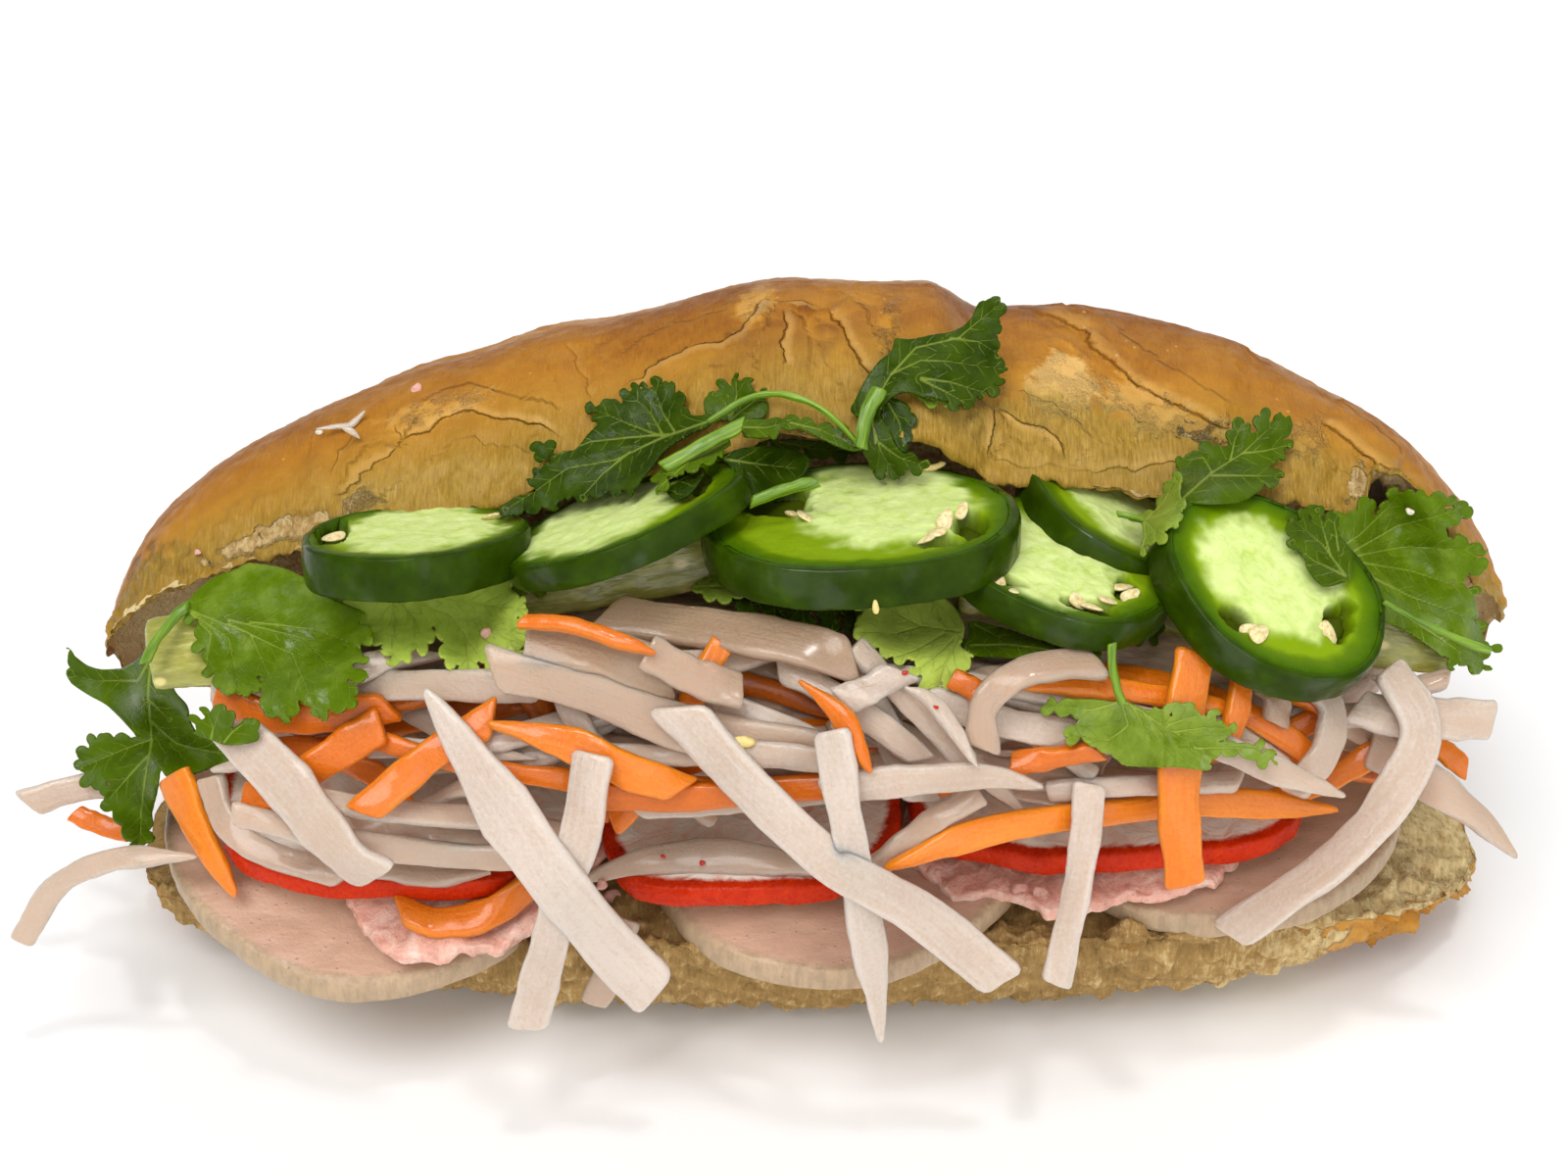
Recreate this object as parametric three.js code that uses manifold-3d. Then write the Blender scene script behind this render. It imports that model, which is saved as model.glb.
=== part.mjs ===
// A filled Vietnamese baguette sandwich, in millimetres, +Z up.
// The roll lies on its flat base, slit along the front and propped open by its filling.
// X runs along the roll, -Y is the open front, and the origin is on the surface it stands on.
import * as THREE from "three";
import { mergeVertices } from "three/addons/utils/BufferGeometryUtils.js";
import Module from "manifold-3d";

const wasm = await Module();
wasm.setup();

// ---- driving dimensions ----
const GAP = 0.35; // clearance kept between neighbouring pieces

const LID_LENGTH = 221;
const BASE_LENGTH = 219;
const BASE_SHIFT = 1.5; // the lower half sits a little to the right
const ROLL_HALF_WIDTH = 42;
const CUT_HEIGHT = 24; // height of the slit above the base
const CUT_DROOP = 13; // how far the slit runs down towards the tips
const LID_HEIGHT = 40; // crown of the upper half above the slit
const LID_HOLLOW = 15; // crumb pressed up by the filling
const BASE_DEPTH = 29; // depth of the lower half's curve before it is flattened
const BASE_DISH = 1.5;
const OPENING = THREE.MathUtils.degToRad(51);
const HINGE_Y = 40;
const HINGE_LENGTH = 132;
const HINGE_RADIUS = 8.5;

const FACE_TILT = THREE.MathUtils.degToRad(35); // how far the open face leans back
const FACE_ORIGIN = new THREE.Vector3(0, -10, 67.4);
const SIGHT_DISTANCE = 420; // from the face's middle to the viewer's eye
const SIGHT_OFFSET = -2.7;

const PORK_ROLL_THICKNESS = 4.4;
const HAM_THICKNESS = 2.0;
const RED_RIM_THICKNESS = 3.4;
const PEPPER_THICKNESS = 6.6;
const PEPPER_WALL = 4.2;
const CUCUMBER_THICKNESS = 4;
const STRIP_THICKNESS = 2.8;

// ---- the open face: across and up lie in it, out runs towards the viewer along the sight line ----
const FACE_UP = new THREE.Vector3(0, Math.sin(FACE_TILT), Math.cos(FACE_TILT));
const FACE_OUT = new THREE.Vector3(0, -Math.cos(FACE_TILT), Math.sin(FACE_TILT));
const ACROSS = new THREE.Vector3(1, 0, 0);
const EYE = FACE_ORIGIN.clone()
  .addScaledVector(FACE_OUT, SIGHT_DISTANCE)
  .addScaledVector(ACROSS, SIGHT_OFFSET);

function facePoint(across, up, out = 0) {
  const onFace = FACE_ORIGIN.clone().addScaledVector(ACROSS, across).addScaledVector(FACE_UP, up);
  return onFace.lerp(EYE, out / SIGHT_DISTANCE);
}

// A disc's own frame: turn rotates it in the face, lean tips its flat side up from facing the viewer.
function faceMatrix({ across, up, out, turn, lean }) {
  const t = THREE.MathUtils.degToRad(turn);
  const l = THREE.MathUtils.degToRad(lean);
  const along = ACROSS.clone().multiplyScalar(Math.cos(t)).addScaledVector(FACE_UP, Math.sin(t));
  const above = ACROSS.clone().multiplyScalar(-Math.sin(t)).addScaledVector(FACE_UP, Math.cos(t));
  const normal = FACE_OUT.clone().multiplyScalar(Math.cos(l)).addScaledVector(above, Math.sin(l));
  const side = new THREE.Vector3().crossVectors(normal, along);
  return new THREE.Matrix4()
    .makeBasis(along, side, normal)
    .setPosition(facePoint(across, up, out));
}

// ---- between three.js geometry and solids ----
function bareSurface(geometry) {
  const bare = geometry.clone();
  for (const name of Object.keys(bare.attributes)) {
    if (name !== "position") bare.deleteAttribute(name);
  }
  return mergeVertices(bare, 1e-4);
}

function solidOf(geometry) {
  const merged = bareSurface(geometry);
  return new wasm.Manifold(
    new wasm.Mesh({
      numProp: 3,
      vertProperties: new Float32Array(merged.attributes.position.array),
      triVerts: new Uint32Array(merged.index.array),
    }),
  );
}

function geometryOf(solid) {
  const { vertProperties, triVerts } = solid.getMesh();
  const geometry = new THREE.BufferGeometry();
  geometry.setAttribute("position", new THREE.BufferAttribute(new Float32Array(vertProperties), 3));
  geometry.setIndex(new THREE.BufferAttribute(new Uint32Array(triVerts), 1));
  geometry.computeVertexNormals();
  return geometry;
}

function reshape(geometry, move) {
  const bare = bareSurface(geometry);
  const position = bare.getAttribute("position");
  const point = new THREE.Vector3();
  for (let i = 0; i < position.count; i++) {
    point.fromBufferAttribute(position, i);
    move(point);
    position.setXYZ(i, point.x, point.y, point.z);
  }
  return bare;
}

function largestBody(solid) {
  return solid.decompose().sort((a, b) => b.volume() - a.volume())[0];
}

const signedPower = (value, power) => Math.sign(value) * Math.abs(value) ** power;

// ---- the roll ----
const LID_PLAN = { length: LID_LENGTH, along: 3, across: 2.4 };
const BASE_PLAN = { length: BASE_LENGTH, along: 3, across: 2.2 };
const SECTION_POWER = 0.88;

const planWidth = (u, plan) => Math.max(0, 1 - Math.abs(u) ** plan.along) ** (1 / plan.across);
const lidEdge = (u) => CUT_HEIGHT - CUT_DROOP * Math.abs(u) ** 2.6;
const baseEdge = (u) => CUT_HEIGHT - CUT_DROOP * Math.abs(u) ** 5;

// Calls move(point, u, r, c, s) for each point of a ball whose poles are the roll's tips: u runs along the
// roll from -1 to 1, r is the plan's share of full width, and c and s go round the section.
function rollHalf(plan, move) {
  const ball = new THREE.SphereGeometry(1, 20, 24).rotateZ(-Math.PI / 2);
  return reshape(ball, (p) => {
    const u = THREE.MathUtils.clamp(p.x, -1, 1);
    const ring = Math.hypot(p.y, p.z);
    const c = ring < 1e-9 ? 1 : p.y / ring;
    const s = ring < 1e-9 ? 0 : p.z / ring;
    move(p, u, ring < 1e-9 ? 0 : planWidth(u, plan), c, s);
    p.x = (u * plan.length) / 2;
  });
}

function lidGeometry(grow) {
  const turned = new THREE.Vector2();
  return rollHalf(LID_PLAN, (p, u, r, c, s) => {
    const outside = s > 1e-9;
    const halfWidth = ROLL_HALF_WIDTH + (outside ? grow : grow * (2 * c ** 8 - 1));
    const y = halfWidth * r * signedPower(c, SECTION_POWER);
    const crown = (LID_HEIGHT + grow) * r * Math.abs(s) ** SECTION_POWER;
    const under = LID_HOLLOW * r * (1 - c ** 4) - 2 * grow;
    const z = lidEdge(u) + (outside ? crown : under);
    turned.set(y - HINGE_Y, z - CUT_HEIGHT).rotateAround(new THREE.Vector2(0, 0), -OPENING);
    const front = THREE.MathUtils.smoothstep(-y, -10, ROLL_HALF_WIDTH);
    p.y = HINGE_Y + turned.x;
    p.z = CUT_HEIGHT + turned.y + front * profileAt(LIP_LIFT, u) - profileAt(LID_SAG, u);
  });
}

// How the upper half differs from a straight one, as [place along the roll, mm] pairs:
// the sag of the whole section, and the lift of its front lip over the filling.
const LID_SAG = [
  [-1, 6], [-0.7, 7.5], [-0.5, 6.3], [-0.3, 2.4], [0, 0], [0.2, -0.8],
  [0.45, -5], [0.6, -1.5], [0.75, 2], [0.9, 0], [1, -1],
];
const LIP_LIFT = [
  [-1, 2], [-0.6, 2], [-0.3, 1.5], [0, 6.5], [0.17, 5.5], [0.27, -2.5],
  [0.45, -6.5], [0.6, 0], [0.77, 5], [1, 0],
];

function profileAt(points, u) {
  const next = points.findIndex(([place]) => place >= u);
  if (next <= 0) return points[0][1];
  const [from, to] = [points[next - 1], points[next]];
  const share = THREE.MathUtils.smoothstep(u, from[0], to[0]);
  return THREE.MathUtils.lerp(from[1], to[1], share);
}

function baseGeometry(grow) {
  return rollHalf(BASE_PLAN, (p, u, r, c, s) => {
    const level = baseEdge(u);
    p.y = (ROLL_HALF_WIDTH + grow) * r * signedPower(c, SECTION_POWER);
    const belly = level - (BASE_DEPTH * level * r * Math.abs(s) ** SECTION_POWER) / CUT_HEIGHT;
    p.z = s >= 0 ? level - BASE_DISH * r * (1 - c ** 4) + grow : Math.max(0, belly);
  }).translate(BASE_SHIFT, 0, 0);
}

function hingeGeometry(grow) {
  return new THREE.SphereGeometry(1, 16, 10)
    .scale(HINGE_LENGTH / 2 + grow, HINGE_RADIUS + grow, HINGE_RADIUS + 1 + grow)
    .translate(0, HINGE_Y - 5.5, CUT_HEIGHT + 1);
}

function breadSolid(grow) {
  return [lidGeometry, baseGeometry, hingeGeometry]
    .map((make) => solidOf(make(grow)))
    .reduce((all, part) => all.add(part));
}

// ---- flat slices: an uneven disc with a rounded rim; tip lowers one end, and past its front line
// the slice droops towards the viewer ----
function sliceGeometry({ x, y, z, radii, thickness, wobble, phase, tip, droop, front }, grow = 0) {
  const disc = new THREE.CylinderGeometry(1, 1, 1, 28, 2).rotateX(Math.PI / 2);
  const slope = Math.tan(THREE.MathUtils.degToRad(tip));
  return reshape(disc, (p) => {
    const angle = Math.atan2(p.y, p.x);
    const radius = Math.hypot(p.x, p.y);
    const lobes = Math.sin(3 * angle + phase) + 0.6 * Math.sin(7 * angle + 2.3 * phase);
    const onMiddle = Math.abs(p.z) < 0.1;
    const rim = grow - (onMiddle ? 0 : 0.12 * thickness * radius);
    const px = (radii[0] * (1 + wobble * lobes) + rim) * radius * Math.cos(angle);
    const py = (radii[1] * (1 + wobble * lobes) + rim) * radius * Math.sin(angle);
    const over = Math.max(0, front - (y + py));
    p.set(x + px, y + py, z + slope * px - droop * over + p.z * (thickness + 2 * grow));
  });
}

const sliceKind = (slices, kind) => slices.map((slice) => ({ ...slice, ...kind }));

const PORK_ROLL_SLICES = sliceKind(
  [
    { name: "left", x: -66, y: -16.4, z: 26.2, radii: [34, 33], tip: -3, droop: 0.3, front: -34, phase: 0.4 },
    { name: "middle", x: 5, y: -20, z: 26.3, radii: [30, 30], tip: 1, droop: 0.22, front: -38, phase: 2.1 },
    { name: "right", x: 64, y: -12.4, z: 26.8, radii: [30.5, 28], tip: 4, droop: 0.2, front: -34, phase: 4 },
  ],
  { thickness: PORK_ROLL_THICKNESS, wobble: 0.013 },
);

const HAM_FOLDS = sliceKind(
  [
    {
      name: "left", x: -52, y: -21.4, z: 30.4, radii: [21, 27],
      tip: -1, droop: 0.25, front: -36, phase: 1.2,
    },
    { name: "right", x: 42, y: -17.4, z: 30.6, radii: [27, 24], tip: 2.5, droop: 0.1, front: -30, phase: 3 },
  ],
  { thickness: HAM_THICKNESS, wobble: 0.05 },
);

const RED_RIM_SLICES = sliceKind(
  [
    { name: "left", x: -61, y: -15, z: 35, radii: [29, 27], tip: -2.5, phase: 0.2 },
    { name: "middle", x: -8, y: -17, z: 35, radii: [23, 27], tip: 2, phase: 1.9 },
    { name: "right", x: 47, y: -11, z: 35.6, radii: [31, 26], tip: 2.2, phase: 3.1 },
  ],
  { thickness: RED_RIM_THICKNESS, wobble: 0.019, droop: 0, front: -60 },
);

// ---- green chilli pepper slices: a wall, pith across the middle and a seed chamber each side ----
const PEPPER_SLICES = [
  { name: "1", across: -58.5, up: 5.5, out: 19, turn: 3, lean: 74, long: 16, wide: 15 },
  { name: "2", across: -26, up: 8.6, out: 20.5, turn: 21, lean: 71, long: 18, wide: 15 },
  { name: "3", across: 9, up: 8, out: 21, turn: 3, lean: 62, long: 22.3, wide: 17 },
  { name: "4", across: 39, up: 2, out: 19, turn: -14, lean: 55, long: 16, wide: 15 },
  { name: "5", across: 70.5, up: -1, out: 22, turn: -32, lean: 38, long: 17.5, wide: 14.5 },
  { name: "6", across: 47.5, up: 8.6, out: 8, turn: -28, lean: 62, long: 15.5, wide: 13 },
];
const CHAMBER = { long: 2.1, share: 0.34, points: 10 };

function ovalPath(Path, long, wide, x = 0, points = 24) {
  const path = new Path();
  path.setFromPoints(
    Array.from({ length: points }, (_, i) => {
      const a = (2 * Math.PI * i) / points;
      return new THREE.Vector2(x + long * Math.cos(a), wide * Math.sin(a));
    }),
  );
  return path;
}

function pepperGeometry({ long, wide, ...place }, grow = 0) {
  const outline = ovalPath(THREE.Shape, long + grow, wide + grow);
  const chamberX = long - PEPPER_WALL - CHAMBER.long;
  for (const x of grow === 0 ? [-chamberX, chamberX] : []) {
    outline.holes.push(ovalPath(THREE.Path, CHAMBER.long, wide * CHAMBER.share, x, CHAMBER.points));
  }
  const depth = PEPPER_THICKNESS + 2 * grow;
  return new THREE.ExtrudeGeometry(outline, { depth, bevelEnabled: false, steps: 1 })
    .translate(0, 0, -depth / 2)
    .applyMatrix4(faceMatrix(place));
}

// ---- planks and strips: a box laid along a smooth route on the open face, flat side outwards ----
function ribbonGeometry({ route, width, thickness }, grow = 0) {
  const curve = new THREE.CatmullRomCurve3(route.map((p) => facePoint(...p)));
  return reshape(new THREE.BoxGeometry(1, 1, 1, 8, 1, 1), (p) => {
    const t = p.x + 0.5;
    const past = Math.abs(p.x) === 0.5 ? Math.sign(p.x) * grow : 0;
    const tangent = curve.getTangent(t);
    const side = new THREE.Vector3().crossVectors(FACE_OUT, tangent).normalize();
    const outwards = new THREE.Vector3().crossVectors(tangent, side).normalize();
    const across = p.y * (width + 2 * grow);
    const up = p.z * (thickness + 2 * grow);
    p.copy(curve.getPoint(t))
      .addScaledVector(tangent, past)
      .addScaledVector(side, across)
      .addScaledVector(outwards, up);
  });
}

// Cucumber planks lie on the pickle, under the peppers.
const CUCUMBER_PLANKS = [
  {
    name: "left", width: 11,
    route: [[-98, -10, 6], [-84, -8, 12], [-60, -1, 11], [-38, 1.5, 13], [-12, 6, 10]],
  },
  { name: "right", width: 10, route: [[24, 1, 10], [48, -1, 9], [72, -5, 9], [98, -8.5, 4]] },
].map((plank) => ({ ...plank, thickness: CUCUMBER_THICKNESS }));

// ---- the pickled daikon and carrot: one heap, with the strips that stand out of it ----
const HEAP = { x: -1, y: -9, z: 52, long: 99, deep: 39, tall: 27, lean: 28, floor: 39.3, lump: 0.05 };

const LOOSE_STRIPS = [
  { width: 8.5, route: [[-55, -20, 22], [-50, -26, 22], [-40, -40, 19], [-31, -52, 16], [-22, -61.5, 12]] },
  {
    width: 6.5,
    route: [[-17, -20, 24], [-8.6, -29.6, 22], [4.7, -41.5, 19], [18, -49.6, 16], [30.7, -59.3, 13]],
  },
  {
    width: 4.6,
    route: [[4.7, -21.5, 19], [6.5, -34, 15], [9.2, -47.4, 11], [11.1, -59.3, 10], [12.1, -68.4, 7]],
  },
  { width: 5.8, route: [[-31.6, -25, 18], [-33.5, -37, 14], [-36.7, -47.4, 11], [-41.6, -66.7, 8]] },
  { width: 4.4, route: [[43.6, -29.6, 18], [42.5, -40, 15], [40.6, -50.4, 11], [38.4, -60, 9]] },
  {
    width: 6,
    route: [[88.4, -12, 15], [93.6, -20.7, 16], [90.7, -29.6, 16], [81.8, -40, 14], [64.7, -52.6, 12]],
  },
  {
    width: 4,
    route: [[-66, -34, 14], [-86, -37.5, 12], [-103.4, -41.2, 5], [-112.3, -45.2, 1], [-117.9, -53.3, -3]],
  },
  {
    width: 4.4,
    route: [[-72, -26, 14], [-88, -29, 11], [-99, -29.6, 3], [-107.9, -29.9, -3], [-117, -32.3, -8]],
  },
  { width: 5.5, route: [[86.2, -23.7, 12], [95.1, -29.6, 7], [102.5, -34.8, 2], [108.1, -40.4, -3]] },
  { width: 6, route: [[82, -18, 10], [92.1, -19.3, 6], [104.7, -20, 2]] },
  { width: 6, route: [[59.3, -9.6, 22], [57.6, -22.2, 24], [57.6, -34, 20], [58.1, -45.2, 14]] },
  {
    width: 4,
    route: [[12.4, -42.5, 15], [27, -37, 19], [41.8, -34.4, 20], [61, -32.6, 16], [81, -33.3, 12]],
  },
  { width: 6.6, route: [[-86, -17, 8], [-93.5, -27, 11], [-90.8, -37, 13], [-85.6, -46.7, 13]] },
].map((strip) => ({ ...strip, thickness: STRIP_THICKNESS }));

function moundGeometry() {
  const lean = THREE.MathUtils.degToRad(HEAP.lean);
  const section = new THREE.Vector2();
  return reshape(new THREE.SphereGeometry(1, 16, 26).rotateZ(-Math.PI / 2), (p) => {
    const lump = 1 + HEAP.lump * Math.sin(17 * p.x + 4 * p.z) * Math.cos(7 * p.z - 3 * p.y);
    const y = HEAP.deep * signedPower(p.y, 0.8) * lump;
    const z = HEAP.tall * signedPower(p.z, 0.8) * lump;
    section.set(y, z).rotateAround(new THREE.Vector2(0, 0), -lean);
    const x = HEAP.x + HEAP.long * signedPower(p.x, 0.9);
    p.set(x, HEAP.y + section.x, Math.max(HEAP.floor, HEAP.z + section.y));
  });
}

function heapSolid() {
  const strips = LOOSE_STRIPS.map((strip) => solidOf(ribbonGeometry(strip)));
  return strips.reduce((all, strip) => all.add(strip), solidOf(moundGeometry()));
}

// ---- assembly: each later piece is laid on the earlier ones, and gives way to them with a gap ----
const MATERIALS = {
  crust: { color: 0xb9793c, roughness: 0.55 },
  porkRoll: { color: 0xd9b9a2, roughness: 0.45 },
  ham: { color: 0xcf9d95, roughness: 0.4 },
  redRim: { color: 0xb8261d, roughness: 0.35 },
  pickle: { color: 0xdccabb, roughness: 0.3 },
  cucumber: { color: 0xcbd08f, roughness: 0.3 },
  pepper: { color: 0x2f6a16, roughness: 0.25 },
};

const root = new THREE.Group();
const keepClear = [];

function addPiece(name, solid, material) {
  const clear = keepClear.reduce((rest, other) => rest.subtract(other), solid);
  const mesh = new THREE.Mesh(
    geometryOf(largestBody(clear)),
    new THREE.MeshStandardMaterial({ ...MATERIALS[material], metalness: 0 }),
  );
  mesh.name = name;
  root.add(mesh);
}

function layPieces(kind, pieces, make, material) {
  for (const piece of pieces) {
    addPiece(`${kind}_${piece.name}`, solidOf(make(piece)), material);
    keepClear.push(solidOf(make(piece, GAP)));
  }
}

addPiece("bread_roll", breadSolid(0), "crust");
keepClear.push(breadSolid(GAP));
layPieces("pork_roll_slice", PORK_ROLL_SLICES, sliceGeometry, "porkRoll");
layPieces("ham_fold", HAM_FOLDS, sliceGeometry, "ham");
layPieces("red_rim_slice", RED_RIM_SLICES, sliceGeometry, "redRim");
layPieces("pepper_slice", PEPPER_SLICES, pepperGeometry, "pepper");
layPieces("cucumber_plank", CUCUMBER_PLANKS, ribbonGeometry, "cucumber");
addPiece("pickle_heap", heapSolid(), "pickle");

export default root;
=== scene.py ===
"""A banh mi sandwich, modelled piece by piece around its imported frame.

Lengths in the tables and functions are millimetres where no comment says otherwise, in the frame's own
axes: X along the roll, Z up, with the open side towards -Y. A mesh turns them into metres when it is
made. Places on the open side are given as (across, up) on a leaning face plane, seen from one eye point,
and a third number, out, says how far a point stands from that plane towards the eye.
"""

import math
import random
from collections import namedtuple

import bmesh
import bpy
import numpy as np
from bpy.props import FloatProperty, FloatVectorProperty, IntProperty, PointerProperty
from mathutils import Matrix, Vector


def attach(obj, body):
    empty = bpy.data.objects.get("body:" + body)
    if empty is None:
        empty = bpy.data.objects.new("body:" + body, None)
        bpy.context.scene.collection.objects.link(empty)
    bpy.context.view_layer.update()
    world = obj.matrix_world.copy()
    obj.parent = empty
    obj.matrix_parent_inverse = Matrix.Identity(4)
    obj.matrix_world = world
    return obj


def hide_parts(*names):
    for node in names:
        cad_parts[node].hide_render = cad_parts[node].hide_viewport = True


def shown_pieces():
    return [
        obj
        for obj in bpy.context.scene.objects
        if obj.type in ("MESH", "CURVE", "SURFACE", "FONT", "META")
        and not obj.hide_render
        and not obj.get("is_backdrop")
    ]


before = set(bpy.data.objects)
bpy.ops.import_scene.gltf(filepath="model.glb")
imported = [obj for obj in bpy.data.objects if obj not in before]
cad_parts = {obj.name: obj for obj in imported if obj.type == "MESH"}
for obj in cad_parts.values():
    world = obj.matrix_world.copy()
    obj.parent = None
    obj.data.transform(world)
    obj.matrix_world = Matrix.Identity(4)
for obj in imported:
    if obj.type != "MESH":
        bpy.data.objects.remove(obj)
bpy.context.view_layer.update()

bl_info = {
    "name": "Banh mi sandwich",
    "version": (1, 0, 0),
    "blender": (4, 5, 0),
    "location": "View3D > Sidebar > Sandwich",
    "description": "Models a filled sandwich roll piece by piece around its packed frame",
    "category": "Add Mesh",
}

MM = 0.001
BODY = "root"

# ---- the open face and the eye
FACE_TILT = math.radians(35)
ACROSS = np.array((1.0, 0.0, 0.0))
FACE_UP = np.array((0.0, math.sin(FACE_TILT), math.cos(FACE_TILT)))
FACE_OUT = np.array((0.0, -math.cos(FACE_TILT), math.sin(FACE_TILT)))
FACE_ORIGIN = np.array((0.0, -10.0, 67.4))
SIGHT_DISTANCE = 420.0
SIGHT_OFFSET = -2.7
EYE = FACE_ORIGIN + SIGHT_DISTANCE * FACE_OUT + SIGHT_OFFSET * ACROSS


def face_point(across, up, out):
    """Points that the eye sees at (across, up) on the face plane, standing out towards it."""
    across, up, out = (part[..., None] for part in np.broadcast_arrays(across, up, out))
    foot = FACE_ORIGIN + across * ACROSS + up * FACE_UP
    return foot + (EYE - foot) * (out / SIGHT_DISTANCE)


def sight(points):
    """The (across, up, out) of points, the inverse of face_point."""
    ray = points - EYE
    depth = -(ray @ FACE_OUT)
    across = (ray @ ACROSS) * SIGHT_DISTANCE / depth + SIGHT_OFFSET
    return across, (ray @ FACE_UP) * SIGHT_DISTANCE / depth, SIGHT_DISTANCE - depth


# ---- small numeric helpers
def smoothstep(low, high, value):
    share = np.clip((value - low) / (high - low), 0, 1)
    return share * share * (3 - 2 * share)


def hump(value, width):
    return np.exp(-((value / width) ** 2))


def lerp(start, end, share):
    return start + (end - start) * share


def signed_power(value, power):
    return np.sign(value) * np.abs(value) ** power


def profile_at(stops, place):
    """A smooth profile through (place, value) stops."""
    result = np.full_like(place, stops[0][1])
    for (place_0, value_0), (place_1, value_1) in zip(stops, stops[1:]):
        risen = value_0 + (value_1 - value_0) * smoothstep(place_0, place_1, place)
        result = np.where(place >= place_0, risen, result)
    return result


SLOPES = np.random.default_rng(5).normal(size=(4096, 3))
CORNERS = [np.array((i, j, k)) for i in (0, 1) for j in (0, 1) for k in (0, 1)]


def lumps(points, size, octaves=3, shift=0.0):
    """Soft random relief, about -1 to 1, with features of the given size."""
    relief = np.zeros(points.shape[:-1])
    for octave in range(octaves):
        place = points * (2**octave / size) + shift + 31.7 * octave
        cell = np.floor(place).astype(np.int64)
        inside = place - cell
        fade = inside**3 * (inside * (inside * 6 - 15) + 10)
        for corner in CORNERS:
            mixed = (cell + corner) * np.array((73856093, 19349663, 83492791))
            slope = SLOPES[(mixed[..., 0] ^ mixed[..., 1] ^ mixed[..., 2]) & 4095]
            weight = np.prod(np.where(corner, fade, 1 - fade), axis=-1)
            relief += 0.5**octave * weight * (slope * (inside - corner)).sum(axis=-1)
    return relief * 1.2


def unit(vectors):
    length = np.linalg.norm(vectors, axis=-1, keepdims=True)
    return vectors / np.maximum(length, 1e-9)


def blur(values, passes, axis, wrap=False):
    """A soft running mean along one axis."""
    for _ in range(passes):
        if wrap:
            values = (np.roll(values, 1, axis) + 2 * values + np.roll(values, -1, axis)) / 4
            continue
        edged = np.concatenate([values.take([0], axis), values, values.take([-1], axis)], axis)
        count = values.shape[axis]
        before = edged.take(range(count), axis)
        after = edged.take(range(2, count + 2), axis)
        values = (before + 2 * values + after) / 4
    return values


def srgb(red, green, blue):
    """A colour given as 0 to 255 display values, as linear light."""
    return tuple(((value / 255 + 0.055) / 1.055) ** 2.4 for value in (red, green, blue))


def tint(colour, share):
    """A darker or lighter tone of a colour."""
    return tuple(min(1, share * part) for part in colour)


# ---- shells: balls reshaped as grids of points
class Shell:
    """Copies of a closed ball whose points form a grid of rings, pole to pole, and segments round them."""

    def __init__(self, rings, segments, copies=1):
        self.bm = bmesh.new()
        bmesh.ops.create_grid(self.bm, x_segments=segments, y_segments=rings, size=1)
        for vert in self.bm.verts:
            angle, height = vert.co.x * math.pi, vert.co.y * math.pi / 2
            ring = math.cos(height)
            vert.co = (ring * math.cos(angle), ring * math.sin(angle), math.sin(height))
        bmesh.ops.remove_doubles(self.bm, verts=self.bm.verts, dist=1e-6)
        ball = np.array([vert.co for vert in self.bm.verts])
        height = np.clip(ball[:, 2], -1, 1)
        ring = np.rint(np.arccos(height) * rings / math.pi).astype(int)
        segment = np.rint(np.arctan2(ball[:, 1], ball[:, 0]) * segments / math.tau).astype(int)
        if copies > 1:
            one = bpy.data.meshes.new("one_ball")
            self.bm.to_mesh(one)
            self.bm.free()
            self.bm = bmesh.new()
            for _ in range(copies):
                self.bm.from_mesh(one)
            bpy.data.meshes.remove(one)
        self.copies = copies
        self.ring = ring
        self.segment = segment % segments
        self.along = np.linspace(1, -1, rings + 1)[:, None]
        self.around = (np.arange(segments) * math.tau / segments)[None, :]

    def pick(self, grid):
        """The values of a grid, or of a stack of grids, in the order of the mesh's vertices."""
        if self.copies == 1:
            return grid[self.ring, self.segment]
        picked = grid[:, self.ring, self.segment]
        return picked.reshape(-1, *picked.shape[2:])


def outward(points):
    """The outward normals of a grid of points."""
    down = np.gradient(points, axis=-3)
    around = np.roll(points, -1, axis=-2) - np.roll(points, 1, axis=-2)
    normals = unit(np.cross(down, around))
    normals[..., 0, :, :] = unit(normals[..., 1, :, :].mean(axis=-2, keepdims=True))
    normals[..., -1, :, :] = unit(normals[..., -2, :, :].mean(axis=-2, keepdims=True))
    return normals


def raised(points, height):
    """The grid with each point moved out along its normal, and its poles kept closed."""
    moved = points + outward(points) * height[..., None]
    for pole, ring in ((0, 1), (-1, -2)):
        moved[..., pole, :, :] = moved[..., ring, :, :].mean(axis=-2, keepdims=True)
    return moved


def add_object(name, mesh, points, finish, stands_for, attributes):
    """Makes the object of a mesh whose vertices stand at the points, and its place in the frame."""
    mesh.vertices.foreach_set("co", (points * MM).ravel())
    for label, values in attributes.items():
        kind, field = ("FLOAT_VECTOR", "vector") if values.ndim == 2 else ("FLOAT", "value")
        mesh.attributes.new(label, kind, "POINT").data.foreach_set(field, values.ravel())
    mesh.polygons.foreach_set("use_smooth", np.ones(len(mesh.polygons), dtype=bool))
    mesh.materials.append(finish)
    mesh.update()
    piece = bpy.data.objects.new(name, mesh)
    bpy.context.scene.collection.objects.link(piece)
    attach(piece, BODY)
    if stands_for:
        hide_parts(*stands_for)
    return piece


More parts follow.
